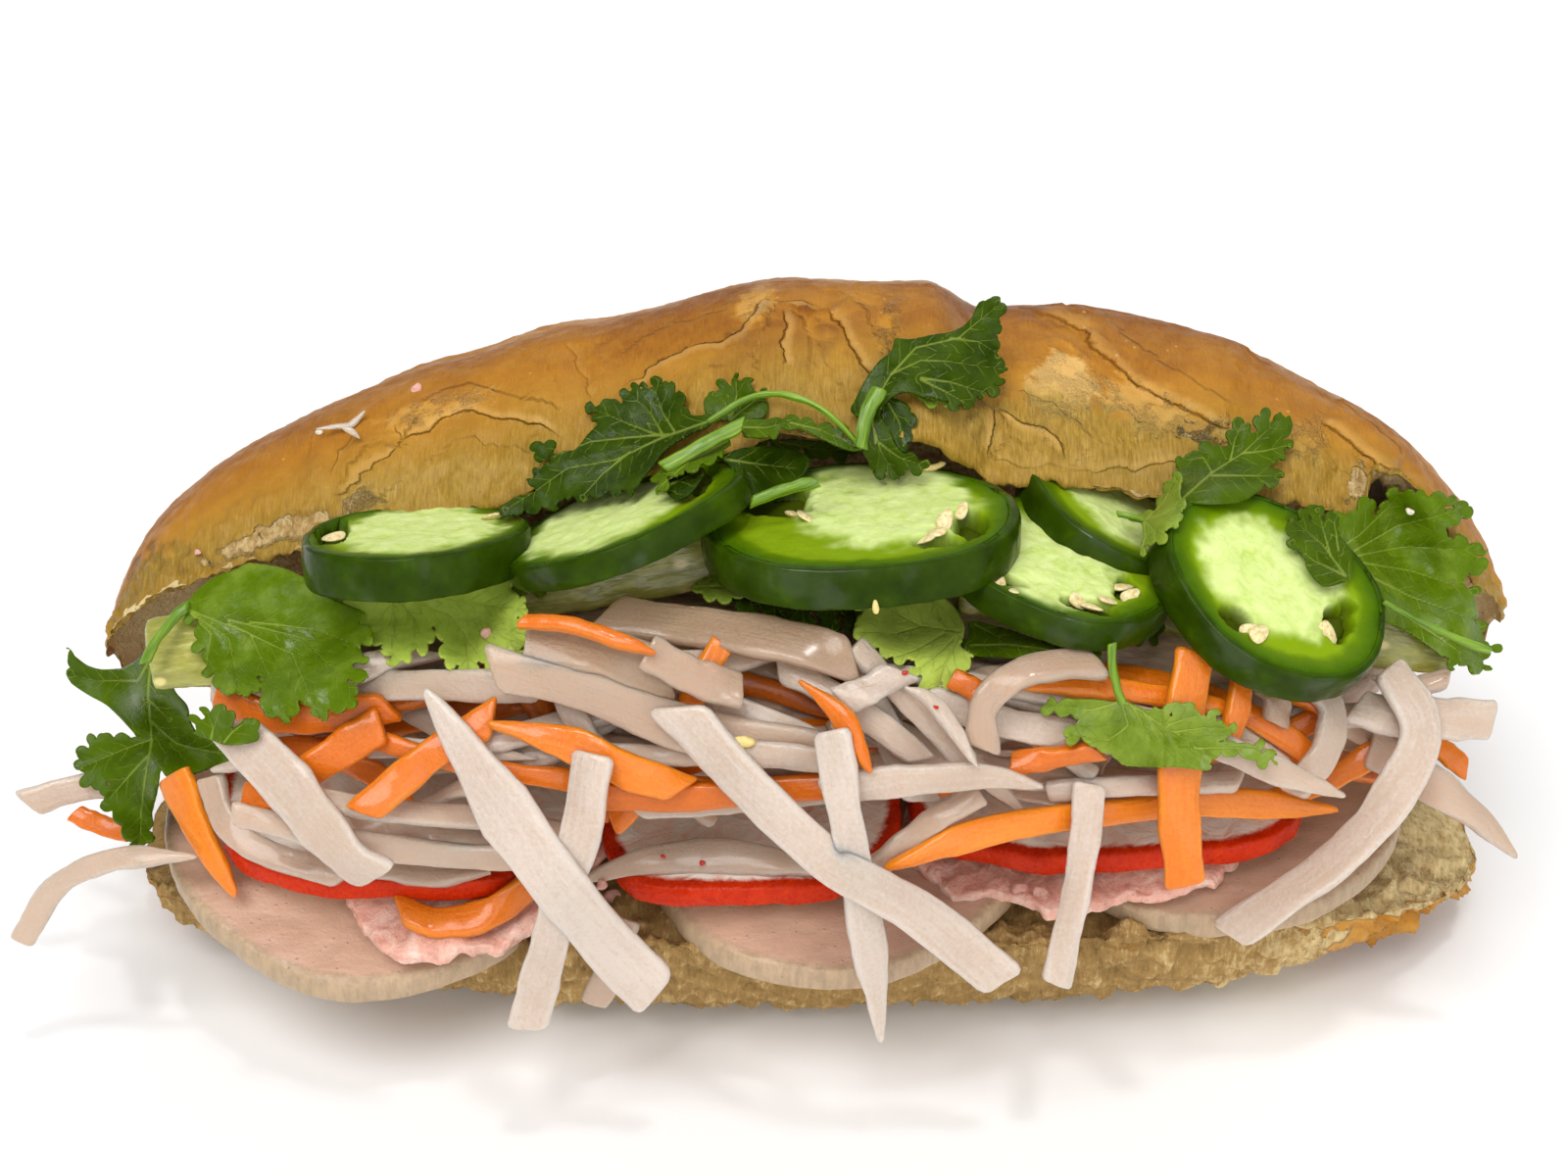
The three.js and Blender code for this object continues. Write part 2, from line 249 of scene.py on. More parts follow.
def add_piece(name, shell, points, finish, slot, stands_for=(), **attributes):
    """Makes the object of a shell whose grid stands at the points, with its attributes."""
    mesh = bpy.data.meshes.new(name)
    shell.bm.to_mesh(mesh)
    shell.bm.free()
    grid = points.shape[:-1]
    picked = {}
    for label, values in attributes.items():
        tail = (3,) if values.ndim > len(grid) else ()
        picked[label] = shell.pick(np.broadcast_to(values, grid + tail))
    add_object(name, mesh, shell.pick(points), finish, stands_for, picked)


# ---- finishes
class Finish:
    """A procedural material: a Principled shader, and short calls for the nodes that feed it."""

    def __init__(self, name, soft=(), **constants):
        """soft is the share of light that enters, how many metres it gets, and each colour's part of it."""
        self.material = bpy.data.materials.new(name)
        self.material.use_nodes = True
        self.tree = self.material.node_tree
        self.shader = self.tree.nodes["Principled BSDF"]
        for socket, value in zip(("Weight", "Scale", "Radius"), soft):
            self.shader.inputs["Subsurface " + socket].default_value = value
        for socket, value in constants.items():
            self.shader.inputs[socket.replace("_", " ")].default_value = value
        self.mm = self.scaled(self.add("TexCoord").outputs["Object"], 1 / MM)

    def add(self, kind, inputs=None, **settings):
        node = self.tree.nodes.new("ShaderNode" + kind)
        for setting, value in settings.items():
            setattr(node, setting, value)
        for socket, value in (inputs or {}).items():
            if isinstance(value, bpy.types.NodeSocket):
                self.tree.links.new(value, node.inputs[socket])
            else:
                node.inputs[socket].default_value = value
        return node

    def feed(self, socket, value):
        self.tree.links.new(value, self.shader.inputs[socket])

    def attribute(self, name, vector=False):
        node = self.add("Attribute", attribute_name=name)
        return node.outputs["Vector" if vector else "Fac"]

    def scaled(self, vector, *scale):
        scale = scale * 3 if len(scale) == 1 else scale
        return self.add("Mapping", {"Vector": vector, "Scale": scale}).outputs["Vector"]

    def where(self, place, stretch):
        place = place or self.mm
        return self.scaled(place, *stretch) if stretch else place

    def noise(self, size, detail=3, rough=0.55, stretch=None, place=None, warp=0):
        """Noise with features of the given size in millimetres, or as much finer as it is stretched."""
        inputs = {"Scale": 1 / size, "Detail": detail, "Roughness": rough, "Distortion": warp}
        return self.add("TexNoise", {"Vector": self.where(place, stretch), **inputs}).outputs["Fac"]

    def cells(self, size, stretch=None, place=None):
        """The distance to scattered points the given size apart."""
        inputs = {"Vector": self.where(place, stretch), "Scale": 1 / size}
        return self.add("TexVoronoi", inputs).outputs["Distance"]

    def span(self, value, low, high, start=0.0, end=1.0):
        """The value's place between low and high, as start to end."""
        inputs = {"Value": value, "From Min": low, "From Max": high, "To Min": start, "To Max": end}
        return self.add("MapRange", inputs, interpolation_type="SMOOTHSTEP").outputs["Result"]

    def maths(self, operation, first, second=0.0):
        return self.add("Math", {0: first, 1: second}, operation=operation).outputs[0]

    def times(self, first, second):
        return self.maths("MULTIPLY", first, second)

    def total(self, *terms):
        """The sum of (value, weight) terms."""
        result = 0.0
        for value, weight in terms:
            inputs = {0: value, 1: weight, 2: result}
            result = self.add("Math", inputs, operation="MULTIPLY_ADD").outputs[0]
        return result

    def ramp(self, value, *stops):
        """A colour ramp through (place, colour) stops."""
        (first, colour), *others = stops
        node = self.add("ValToRGB", {"Fac": value})
        elements = node.color_ramp.elements
        elements.remove(elements[1])
        elements[0].position = first
        elements[0].color = (*colour, 1)
        for place, colour in others:
            elements.new(place).color = (*colour, 1)
        return node.outputs["Color"]

    def mix(self, share, *parts):
        """The two parts, colours or sockets, mixed by the share of the second."""
        first, second = (part if isinstance(part, bpy.types.NodeSocket) else (*part, 1) for part in parts)
        return self.add("Mix", {0: share, 6: first, 7: second}, data_type="RGBA").outputs[2]

    def bump(self, *layers):
        """Stacked relief: (height, depth in millimetres) layers, the coarse ones first."""
        normal = None
        for height, depth in layers:
            inputs = {"Height": height, "Strength": 1.0, "Distance": depth * MM}
            if normal:
                inputs["Normal"] = normal
            normal = self.add("Bump", inputs).outputs["Normal"]
        self.feed("Normal", normal)


# ---- settings
def colour_setting(name, description, *display):
    return FloatVectorProperty(
        name=name, description=description, default=srgb(*display), size=3, min=0, max=1, subtype="COLOR"
    )


def length_setting(name, description, millimetres):
    return FloatProperty(
        name=name, description=description, default=millimetres * MM, min=0, unit="LENGTH", precision=5
    )


def light_setting(name, description, strength):
    return FloatProperty(name=name, description=description, default=strength, min=0)


class BreadSettings(bpy.types.PropertyGroup):
    """Sizes and colours of the roll"""

    pale_crust: colour_setting("Pale crust", "Crust that hardly browned", 216, 172, 98)
    gold_crust: colour_setting("Golden crust", "Crust over most of the roll", 190, 130, 36)
    brown_crust: colour_setting("Brown crust", "Crust along the top of the roll", 144, 86, 20)
    crumb: colour_setting("Crumb", "The soft inside where it shows", 228, 204, 150)
    crumb_shade: colour_setting("Crumb shade", "Hollows and toasted parts of the crumb", 176, 142, 88)
    unevenness: length_setting("Unevenness", "Height of the broad dents in the crust", 0.35)


class MeatSettings(bpy.types.PropertyGroup):
    """Colours of the sliced meats"""

    pork: colour_setting("Pork roll", "Cut face of the pork roll", 202, 166, 142)
    pork_rim: colour_setting("Pork roll rim", "Outer edge of a slice", 186, 160, 128)
    ham: colour_setting("Ham", "Folded ham", 228, 172, 152)
    red: colour_setting("Red rim", "Bright dyed rim of the red-rim pork", 190, 38, 0)
    red_meat: colour_setting("Red-rim meat", "Pale meat inside the red rim", 250, 222, 204)


class PickleSettings(bpy.types.PropertyGroup):
    """Sizes and colours of the pickled strips"""

    daikon: colour_setting("Daikon", "Pickled daikon strips", 212, 191, 172)
    daikon_deep: colour_setting("Deep daikon", "Daikon down in the heap", 220, 188, 160)
    carrot: colour_setting("Carrot", "Pickled carrot strips", 228, 118, 14)
    thickness: length_setting("Strip thickness", "Thickness of a strip", 2.0)
    fillers: IntProperty(
        name="Filler strips", description="Strips tried for filling the heap", default=700, min=0
    )


class GreenSettings(bpy.types.PropertyGroup):
    """Sizes and colours of the peppers, cucumber and coriander"""

    skin: colour_setting("Pepper skin", "Outside of a green pepper", 46, 68, 0)
    wall: colour_setting("Pepper wall", "Cut wall of a green pepper", 92, 122, 0)
    pith: colour_setting("Pepper pith", "Soft middle of a green pepper", 203, 220, 132)
    seed: colour_setting("Pepper seed", "Seeds of a green pepper", 238, 224, 172)
    cucumber: colour_setting("Cucumber", "Flesh of the cucumber", 168, 166, 80)
    leaf: colour_setting("Leaf", "Coriander leaf", 86, 112, 4)
    leaf_dark: colour_setting("Dark leaf", "Coriander leaf in its darkest places", 38, 58, 0)
    leaf_light: colour_setting("Light leaf", "Coriander leaf at its lightest", 170, 188, 80)
    leaf_thickness: length_setting("Leaf thickness", "Thickness of a leaf", 0.35)


class StageSettings(bpy.types.PropertyGroup):
    """The floor and lights"""

    floor: FloatVectorProperty(
        name="Floor", description="Colour of the floor", default=(0.92, 0.92, 0.92), min=0, max=1,
        subtype="COLOR",
    )
    key_strength: light_setting("Key light", "Strength of the main light", 2.1)
    fill_strength: light_setting("Fill light", "Strength of the soft fill", 1.0)
    sky: light_setting("Sky", "Strength of the even light", 0.26)


# ---- the roll
LID_LENGTH = 221.0
BASE_LENGTH = 219.0
BASE_SHIFT = 1.5
ROLL_HALF_WIDTH = 42.0
CUT_HEIGHT = 24.0
CUT_DROOP = 13.0
LID_HEIGHT = 40.0
LID_HOLLOW = 15.0
BASE_DEPTH = 29.0
BASE_DISH = 1.5
OPENING = math.radians(51)
HINGE_Y = 40.0
HINGE_HALF_LENGTH = 66.0
HINGE_RADIUS = 8.5
SECTION_POWER = 0.88
LID_SAG = [
    (-1, 6), (-0.7, 7.5), (-0.5, 6.3), (-0.3, 2.4), (0, 0), (0.2, -0.8),
    (0.45, -5), (0.6, -1.5), (0.75, 2), (0.9, 0), (1, -1),
]
LIP_LIFT = [
    (-1, 2), (-0.6, 2), (-0.3, 1.5), (0, 6.5), (0.17, 5.5), (0.27, -2.5),
    (0.45, -6.5), (0.6, 0), (0.77, 5), (1, 0),
]

# Creases of the crust over the open side: the route in (across, up), how far the crust on its left hand
# stands above the right (less than 0: the right stands above), how far that step carries, and the depth
# and width of the groove.
LID_CREASES = [
    ([(-72, 14.8), (-68.6, 15), (-65.6, 17.8), (-62.5, 20.1), (-60.4, 22.4), (-57.4, 23.2), (-52.8, 25.7),
      (-49.8, 26.7), (-47.2, 26.2), (-42.6, 25.2), (-38.5, 23.4), (-35, 22.4)], 0.3, 10, 0.12, 0.4),
    ([(-27, 30.5), (-24.6, 31.9), (-21.6, 34.4), (-17.5, 36.1), (-12.5, 37.2), (-9.1, 38.5), (-6.9, 41.4),
      (-6.1, 42.9), (0, 43.3), (3.3, 42.1)], -0.5, 12, 0.25, 0.4),
    ([(3.3, 42.1), (6.4, 39.1), (6.8, 36.8), (8.6, 34.2), (10, 32.3), (10.6, 28)], 0.8, 18, 0.15, 0.6),
    ([(-35.6, 37.5), (-34, 34), (-32.6, 31.4), (-32, 28.5)], 0.0, 4, 0.7, 1.5),
    ([(-2.7, 41.8), (-2.4, 38.5), (-2.9, 36.1), (-2.5, 32.7)], 0.0, 2, 0.3, 0.35),
    ([(34, 41.6), (36.7, 40.6), (41.7, 38.7), (43.6, 36.4), (45.5, 34.6), (49.2, 31.2), (53, 28.9),
      (56.4, 27.4), (59.8, 25.9), (63, 24.2), (66.5, 23.4)], 0.9, 20, 0.15, 0.7),
    ([(29.8, 27.2), (33.4, 25.1), (36.4, 23.6), (39.4, 21.3), (40, 18.8)], -0.3, 6, 0.3, 0.4),
    ([(29.2, 27.6), (28.7, 25), (28.3, 22), (28, 18.6)], -0.6, 10, 0.2, 0.5),
    ([(78, 25.6), (80.7, 23.5), (83.8, 20.9), (86.5, 18.6), (89, 16)], 0.7, 14, 0.15, 0.6),
    ([(27, 19.6), (33, 18.4), (42, 17.6), (50, 17.8), (58, 19.2), (63, 20)], 0.4, 8, 0.25, 0.9),
    ([(-12, 48.2), (0, 48.4), (12, 47.8)], -0.5, 6, 0.4, 0.7),
    ([(-68, 23.5), (-70.4, 21), (-71, 18)], 0.0, 4, 0.7, 1.4),
    ([(-61.5, 24.5), (-60.6, 21.5)], 0.0, 3, 0.5, 1.0),
]

# Places on the crust: middle (across, up), half sizes, turn in degrees, and what they add to the crust's
# height in mm, bake, crumb, gloss and olive shade, where those left off are 0. The olive shade is the pale
# olive of crust that browned less under the lip, with painted shade where the lip faces down.
LID_PATCHES = [
    ((39.4, 30.2), (4.4, 4.6), 20, -0.35, -0.75),
    ((39.4, 30.2), (6.2, 6.2), 20, 0.25, -0.08, 0, 0.5),
    ((22.5, 23.2), (6.6, 4.2), -4, -0.4, -0.5, 0.3),
    ((52, 27), (8, 3.2), -22, -0.2, -0.4, 0.25, 0.6),
    ((63, 23), (5, 2.4), -10, -0.2, -0.4, 0.35, 0.7),
    ((-80, 7.2), (10.5, 2.6), 22, -0.9, -0.3, 0.95),
    ((-68, 12.2), (5, 2), 25, -0.4, -0.3, 0.5, 0.2),
    ((-53, 15.5), (17, 3.6), 12, 0.3, -0.3),
    ((46, 16), (24, 3.2), -2, 0.2, -0.35),
    ((-55, 26.8), (8, 2), 16, 0.2, -0.25, 0, 0.8),
    ((-7, 42), (2.2, 3.6), -40, 0.1, -0.4, 0.15, 0.6),
    ((13, 38.5), (1.4, 4.4), -12, 0.1, -0.15, 0, 1),
    ((-4, 35), (9, 5.5), 20, 0.5, 0.16),
    ((20, 38), (18, 7), 0, 0.4, 0.1, 0, 0.1),
    ((76, 22), (4, 3), 30, 0, -0.2, 0.1, 0.9),
    ((-98, -1.5), (8.5, 6.5), 30, 0, 0.28),
    ((-15, 41), (16, 5), 10, 0.2, 0.08),
    ((55, 38), (16, 6), -24, 0.5, 0.04),
    ((35.9, 20.5), (17, 7.5), -4, 0, -0.05, 0, 0, 0.95),
    ((61, 19), (15, 4.6), -6, 0, 0, 0, 0, 0.7),
    ((-51, 13.2), (22, 2.8), 13, 0, 0, 0, 0, 0.9),
    ((-96, -1), (9, 6), 38, 0, 0.2, 0, 0, 0.4),
    ((83.8, 15.4), (1.5, 3.4), -8, -0.2, -0.3, 0.9, 0.3),
]
# The lip's notch by the right tip: how high its edge stands, as (across, up) stops.
NOTCH = [(84.6, 8.0), (85.6, 17.4), (87.0, 18.6), (90.0, 17.6), (93.5, 14.6), (97.5, 8.0)]
# Painted shadow in the gap under the notch: its middle in (across, up) and its radius.
GAP = (87.6, 15.6)
GAP_RADIUS = 3.6
CRACK_REACH = 4.0


def route_distance(across, up, route):
    """The distance from places to a route, more than 0 on its left hand, and how far along it they are."""
    nearest = np.full(across.shape, 1e9)
    signed = np.zeros(across.shape)
    place = np.zeros(across.shape)
    ends = np.array(route, dtype=float)
    lengths = np.linalg.norm(np.diff(ends, axis=0), axis=1)
    starts = np.concatenate([[0], np.cumsum(lengths)])
    for (x, y), (dx, dy), length, start in zip(ends, np.diff(ends, axis=0), lengths, starts):
        share = np.clip(((across - x) * dx + (up - y) * dy) / length**2, 0, 1)
        off_x = across - x - share * dx
        off_y = up - y - share * dy
        away = np.hypot(off_x, off_y)
        closer = away < nearest
        nearest = np.where(closer, away, nearest)
        signed = np.where(closer, np.sign(dx * off_y - dy * off_x) * away, signed)
        place = np.where(closer, (start + share * length) / starts[-1], place)
    return signed, place


def crease_relief(across, up, creases):
    """The height that a list of creases adds to a crust, the distance from the nearest crack, more than 0
    on its higher side, and how open that crack is."""
    height = np.zeros(across.shape)
    crack = np.full(across.shape, CRACK_REACH)
    opening = np.zeros(across.shape)
    for route, step, carry, depth, width in creases:
        away, place = route_distance(across, up, route)
        fade = smoothstep(0, 0.12, place) * smoothstep(0, 0.12, 1 - place)
        side = away * (1 if step >= 0 else -1)
        height += abs(step) * fade * smoothstep(-0.5, 0.5, side) * np.exp(-np.abs(side) / carry)
        height -= depth * fade * hump(away, width)
        closer = np.abs(side) < np.abs(crack)
        single = smoothstep(0.2, 0.8, np.abs(np.abs(side) - np.abs(crack)) + 9.0 * (crack >= CRACK_REACH))
        opening = np.where(closer, fade * min(1, 0.5 / width), opening) * np.maximum(single, hump(side, 0.4))
        crack = np.where(closer, side, crack)
    return height, crack, opening


def patch_relief(across, up, patches, rough):
    """What a list of patches adds to a crust: height, bake, crumb, gloss and olive shade, which is less
    browned crust with painted shade.
    """
    added = [np.zeros(across.shape) for _ in range(5)]
    for (x, y), (half_x, half_y), turn, *amounts in patches:
        cos, sin = math.cos(math.radians(turn)), math.sin(math.radians(turn))
        along = ((across - x) * cos + (up - y) * sin) / half_x
        side = ((up - y) * cos - (across - x) * sin) / half_y
        away = np.hypot(along, side) + 0.35 * rough
        for total, amount in zip(added, amounts):
            total += amount * smoothstep(1.25, 0.75, away)
    return added


def roll_section(shell, plan_power, outer_share):
    """The grid numbers of half a roll: place along it, share of full width, and the section's c and s.
    outer_share of the segments go to the side where s is over 0."""
    along = shell.along * (1.25 - 0.25 * shell.along**2)
    angle = np.interp(shell.around, [0, math.tau * outer_share, math.tau], [0, math.pi, math.tau])
    ratio = np.maximum(0, 1 - np.abs(along) ** 3) ** (1 / plan_power)
    return along, ratio, np.cos(angle), np.sin(angle)


def lid_points(shell):
    along, ratio, c, s = roll_section(shell, plan_power=2.4, outer_share=0.7)
    y = ROLL_HALF_WIDTH * ratio * signed_power(c, SECTION_POWER)
    crown = LID_HEIGHT * ratio * np.abs(s) ** SECTION_POWER
    under = LID_HOLLOW * ratio * (1 - c**4)
    z = CUT_HEIGHT - CUT_DROOP * np.abs(along) ** 2.6 + np.where(s > 1e-9, crown, under)
    cos, sin = math.cos(OPENING), math.sin(OPENING)
    turned_y = (y - HINGE_Y) * cos + (z - CUT_HEIGHT) * sin
    turned_z = (z - CUT_HEIGHT) * cos - (y - HINGE_Y) * sin
    front = smoothstep(-10, ROLL_HALF_WIDTH, -y)
    lift = front * profile_at(LIP_LIFT, along) - profile_at(LID_SAG, along)
    x = np.broadcast_to(along * LID_LENGTH / 2, y.shape)
    points = np.stack([x, HINGE_Y + turned_y, CUT_HEIGHT + turned_z + lift], axis=-1)
    return blur(points, 14, axis=1, wrap=True), along, c, s


def base_points(shell):
    along, ratio, c, s = roll_section(shell, plan_power=2.2, outer_share=0.35)
    level = CUT_HEIGHT - CUT_DROOP * np.abs(along) ** 5
    y = ROLL_HALF_WIDTH * ratio * signed_power(c, SECTION_POWER)
    top = level - BASE_DISH * ratio * (1 - c**4)
    belly = level - BASE_DEPTH * level * ratio * np.abs(s) ** SECTION_POWER / CUT_HEIGHT
    z = np.where(s >= 0, top, belly)
    x = np.broadcast_to(along * BASE_LENGTH / 2 + BASE_SHIFT, y.shape)
    return blur(np.stack([x, y, z], axis=-1), 8, axis=1, wrap=True), s


def bread_finish(name, settings):
    """Crust and crumb in one finish, told apart by the attributes that a piece of bread carries."""
    finish = Finish(name, (0.06, 0.002))
    bake, crumb, crack, opening, gloss, under, light = (
        finish.attribute(label) for label in ("bake", "crumb", "crack", "opening", "gloss", "under", "light")
    )
    cloud = finish.noise(14, 4)
    blotch = finish.noise(3.5, 4, 0.6)
    fibre = finish.noise(0.7, 4, 0.7, stretch=(2.4, 0.3, 0.3))
    grain = finish.noise(0.45, 3, 0.7)
    tone = finish.total((bake, 1), (cloud, 0.3), (blotch, 0.2), (fibre, 0.32), (grain, 0.12))
    pale, gold, brown = settings.pale_crust, settings.gold_crust, settings.brown_crust
    mid = tuple((part_1 + part_2) / 2 for part_1, part_2 in zip(gold, pale))
    crust = finish.ramp(
        finish.maths("SUBTRACT", tone, 0.47), (0, pale), (0.25, mid), (0.5, gold), (0.85, brown),
        (1.0, tint(brown, 0.6)),
    )
    specks = finish.span(finish.cells(3), 0.12, 0.05)
    speck_field = finish.span(finish.noise(9, 2), 0.46, 0.6)
    crust = finish.mix(finish.times(specks, speck_field), crust, mid)
    # The olive under the lip is crust that browned less, darkened further as painted shade where the lip
    # faces down.
    olive = finish.ramp(fibre, (0.3, srgb(112, 88, 22)), (0.6, srgb(162, 134, 54)), (0.8, srgb(192, 170, 98)))
    crust = finish.mix(finish.times(under, 0.8), crust, olive)
    ragged_crack = finish.total((crack, 1), (blotch, 0.8), (grain, 0.4), (1, -0.6))
    beside = finish.times(finish.span(ragged_crack, 0.1, 0.4), finish.span(ragged_crack, 1.8, 0.5))
    crust = finish.mix(finish.times(beside, finish.times(opening, 0.4)), crust, pale)
    pores = finish.noise(1.6, 5, 0.6)
    threads = finish.noise(0.8, 4, 0.7, stretch=(1.6, 0.35, 0.35))
    # light shifts the crumb tone: on the lid it is painted light in the tips and painted shadow under the
    # notch; on the base it makes the crumb darker to the left and middle and lighter to the right end.
    soft = finish.total((pores, 0.55), (threads, 0.45), (light, 0.16))
    shade, pale_crumb = settings.crumb_shade, settings.crumb
    # The darkest stops are painted shade: in the pores, and near black in the gap under the notch.
    crumb_colour = finish.ramp(
        soft, (0.0, tint(shade, 0.12)), (0.28, tint(shade, 0.7)), (0.44, shade),
        (0.64, pale_crumb),
        (0.85, tint(pale_crumb, 1.12)),
    )
    ragged = finish.span(finish.total((crumb, 1), (blotch, 0.5), (grain, 0.25)), 0.72, 0.96)
    colour = finish.mix(ragged, crust, crumb_colour)
    line = finish.times(finish.span(finish.maths("ABSOLUTE", ragged_crack), 0.2, 0.02), opening)
    colour = finish.mix(finish.times(line, 0.42), colour, tint(brown, 0.34))
    finish.feed("Base Color", colour)
    shine = finish.times(gloss, finish.span(blotch, 0.42, 0.6))
    rough = finish.total((finish.span(blotch, 0.3, 0.7, 0.36, 0.52), 1), (ragged, 0.38), (shine, -0.3))
    finish.feed("Roughness", finish.maths("MAXIMUM", rough, 0.12))
    finish.feed("Specular IOR Level", finish.total((shine, 0.4), (ragged, -0.12), (1, 0.2)))
    crust_relief = finish.total((fibre, 0.5), (grain, 0.5))
    crumb_relief = finish.times(finish.total((pores, 0.8), (threads, 0.5)), ragged)
    step = finish.times(finish.span(ragged_crack, -0.2, 0.2), opening)
    finish.bump(
        (blotch, 0.3), (step, 0.5), (crust_relief, 0.2), (crumb_relief, 0.8),
        (finish.times(shine, grain), 0.8),
    )
    return finish.material


def make_lid(settings, finish):
    shell = Shell(380, 256)
    points, along, c, s = lid_points(shell)
    normals = outward(points)
    facing = (normals * unit(EYE - points)).sum(axis=-1)
    across, up, _ = sight(points)
    rough = lumps(points, 2.2, 3)
    broad = lumps(points, 24, 2, 5.0)
    small = lumps(points, 7, 3, 9.0)
    outside = smoothstep(-0.02, 0.16, s)
    seen = outside * smoothstep(0.02, 0.2, facing)
    height, crack, opening = crease_relief(across + 0.5 * rough, up + 0.5 * small, LID_CREASES)
    dent, bake_more, crumb_more, gloss, olive = patch_relief(across, up, LID_PATCHES, rough)
    girth = points[..., 2] + 0.4 * points[..., 1]
    back_height, back_crack, back_opening = crease_relief(points[..., 0] + rough, girth + small, BACK_CREASES)
    hidden = outside * smoothstep(0.1, -0.1, facing)
    relief = seen * (height + dent) + hidden * back_height
    relief += settings.unevenness / MM * (broad + 0.35 * small * outside) + 0.12 * rough
    lip = smoothstep(-0.55, -0.97, c) * smoothstep(-0.5, 0.0, s) * smoothstep(0.55, 0.1, s)
    relief += lip * (0.6 * small + 0.45 * rough)
    points = raised(points, relief)
    notch = np.interp(across + 0.5 * rough, *zip(*NOTCH), left=-99, right=-99) - up
    notch = np.maximum(0, notch) * smoothstep(-0.2, -0.6, c) * smoothstep(-0.9, -0.2, s)
    sagging = 1.2 * lip * lumps(np.stack([across, 0 * up, 0 * up], -1), 6, 2)
    points += (notch + sagging)[..., None] * FACE_UP
    # A painted shadow darkens the crumb seen in the gap under the notch.
    gap_away = np.hypot(across - GAP[0], up - GAP[1]) / GAP_RADIUS + 0.2 * rough
    gap = smoothstep(1.3, 0.8, gap_away)
    flat_top = smoothstep(0.25, 0.95, normals[..., 2])
    rim = seen * smoothstep(0.5, 0.12, facing) * smoothstep(0.2, 0.7, normals[..., 2])
    bake = 0.54 + 0.12 * flat_top + 0.08 * broad + 0.16 * rim
    inside = smoothstep(-0.04, -0.3, s)
    # edge: the lip's lower edge, given the olive tone with painted shade.
    edge = smoothstep(0.14, 0.0, s) * smoothstep(-0.6, -0.9, c)
    ends = smoothstep(0.93, 1.0, np.abs(along))
    add_piece(
        "bread_lid", shell, points, finish, "bread", ["bread_roll"],
        bake=bake + seen * bake_more + 0.1 * ends - 0.2 * lip,
        crumb=np.maximum(seen * crumb_more, inside),
        crack=np.where(seen > 0, crack, back_crack),
        opening=np.where(seen > 0, seen * opening, hidden * back_opening),
        gloss=seen * gloss,
        # under: the olive tone on the lip and its lower edge, less browned crust with painted shade.
        under=np.clip(seen * (olive + lip) + edge, 0, 1),
        # light: painted light on the crumb inside the tips, and painted shadow in the gap under the notch.
        light=1.5 * smoothstep(0.78, 0.9, np.abs(along)) - 4.5 * gap * inside,
    )


# Creases of the crust over the back: the route in (x, girth), where girth grows up and over the lid.
BACK_CREASES = [
    ([(-70, 92), (-48, 96), (-20, 94), (6, 97), (30, 93)], 0.9, 9, 0.5, 0.8),
    ([(20, 74), (38, 78), (62, 74), (80, 76)], 0.7, 8, 0.5, 0.7),
    ([(-88, 70), (-66, 74), (-50, 70)], -0.6, 7, 0.4, 0.7),
]


def make_base(finish):
    shell = Shell(290, 250)
    points, s = base_points(shell)
    normals = outward(points)
    rough = lumps(points, 2.4, 3, 3.0)
    small = lumps(points, 6, 3, 1.0)
    broad = lumps(points, 22, 2, 7.0)
    x, y, z = points[..., 0], points[..., 1], points[..., 2]
    outside = smoothstep(0.1, -0.12, s)
    front = smoothstep(-4, -22, y) * (0.25 + 0.75 * smoothstep(88, 74, x + 4 * rough))
    standing = smoothstep(1.2, 5, z)
    fibres = lumps(points * np.array((1.0, 0.25, 0.25)), 1.5, 2)
    torn = lumps(points, 3.6, 3, 8.0)
    relief = standing * (0.7 * broad + 0.45 * small + 0.3 * rough + front * (0.5 * fibres + 0.8 * torn))
    shoulder = hump(z - 21, 4) * front
    relief += standing * shoulder * (0.8 * small + 0.5 * fibres)
    flake = smoothstep(84, 92, x) * smoothstep(0, -12, y) * standing
    relief += flake * (1.1 * small + 0.5 * rough)
    points = raised(points, relief)
    points[..., 2] = np.maximum(points[..., 2], 0)
    crumb = np.maximum(smoothstep(-0.05, 0.08, s), outside * front)
    bake = 0.34 + 0.22 * smoothstep(-0.2, -0.95, normals[..., 2]) + 0.1 * broad + 0.22 * flake
    add_piece(
        "bread_base", shell, points, finish, "bread", ["bread_roll"],
        bake=bake - 0.2 * flake * smoothstep(-0.2, 0.6, small), crumb=np.clip(crumb, 0, 1), gloss=0.4 * flake,
        # light: the crumb darker towards the left and middle, lighter towards the right end, and uneven on
        # the torn front.
        light=lerp(-0.7, 0.6, smoothstep(50, 92, x)) + 0.5 * torn * front,
    )


def make_hinge(finish):
    shell = Shell(90, 60)
    angle = shell.around
    radius = np.sqrt(np.maximum(0, 1 - np.abs(shell.along) ** 3))
    x = np.broadcast_to(shell.along * HINGE_HALF_LENGTH, (len(shell.along), angle.shape[1]))
    y = HINGE_Y - 5.5 + HINGE_RADIUS * radius * np.cos(angle)
    z = CUT_HEIGHT + 1 + (HINGE_RADIUS + 1) * radius * np.sin(angle)
    points = np.stack([x, y, z], axis=-1)
    small = lumps(points, 5, 3, 2.0)
    points = raised(points, 0.5 * small)
    inner = smoothstep(0.1, -0.3, np.cos(angle))
    add_piece(
        "bread_hinge", shell, points, finish, "bread", ["bread_roll"],
        bake=0.4 + 0.1 * small, crumb=inner + 0 * small,
    )


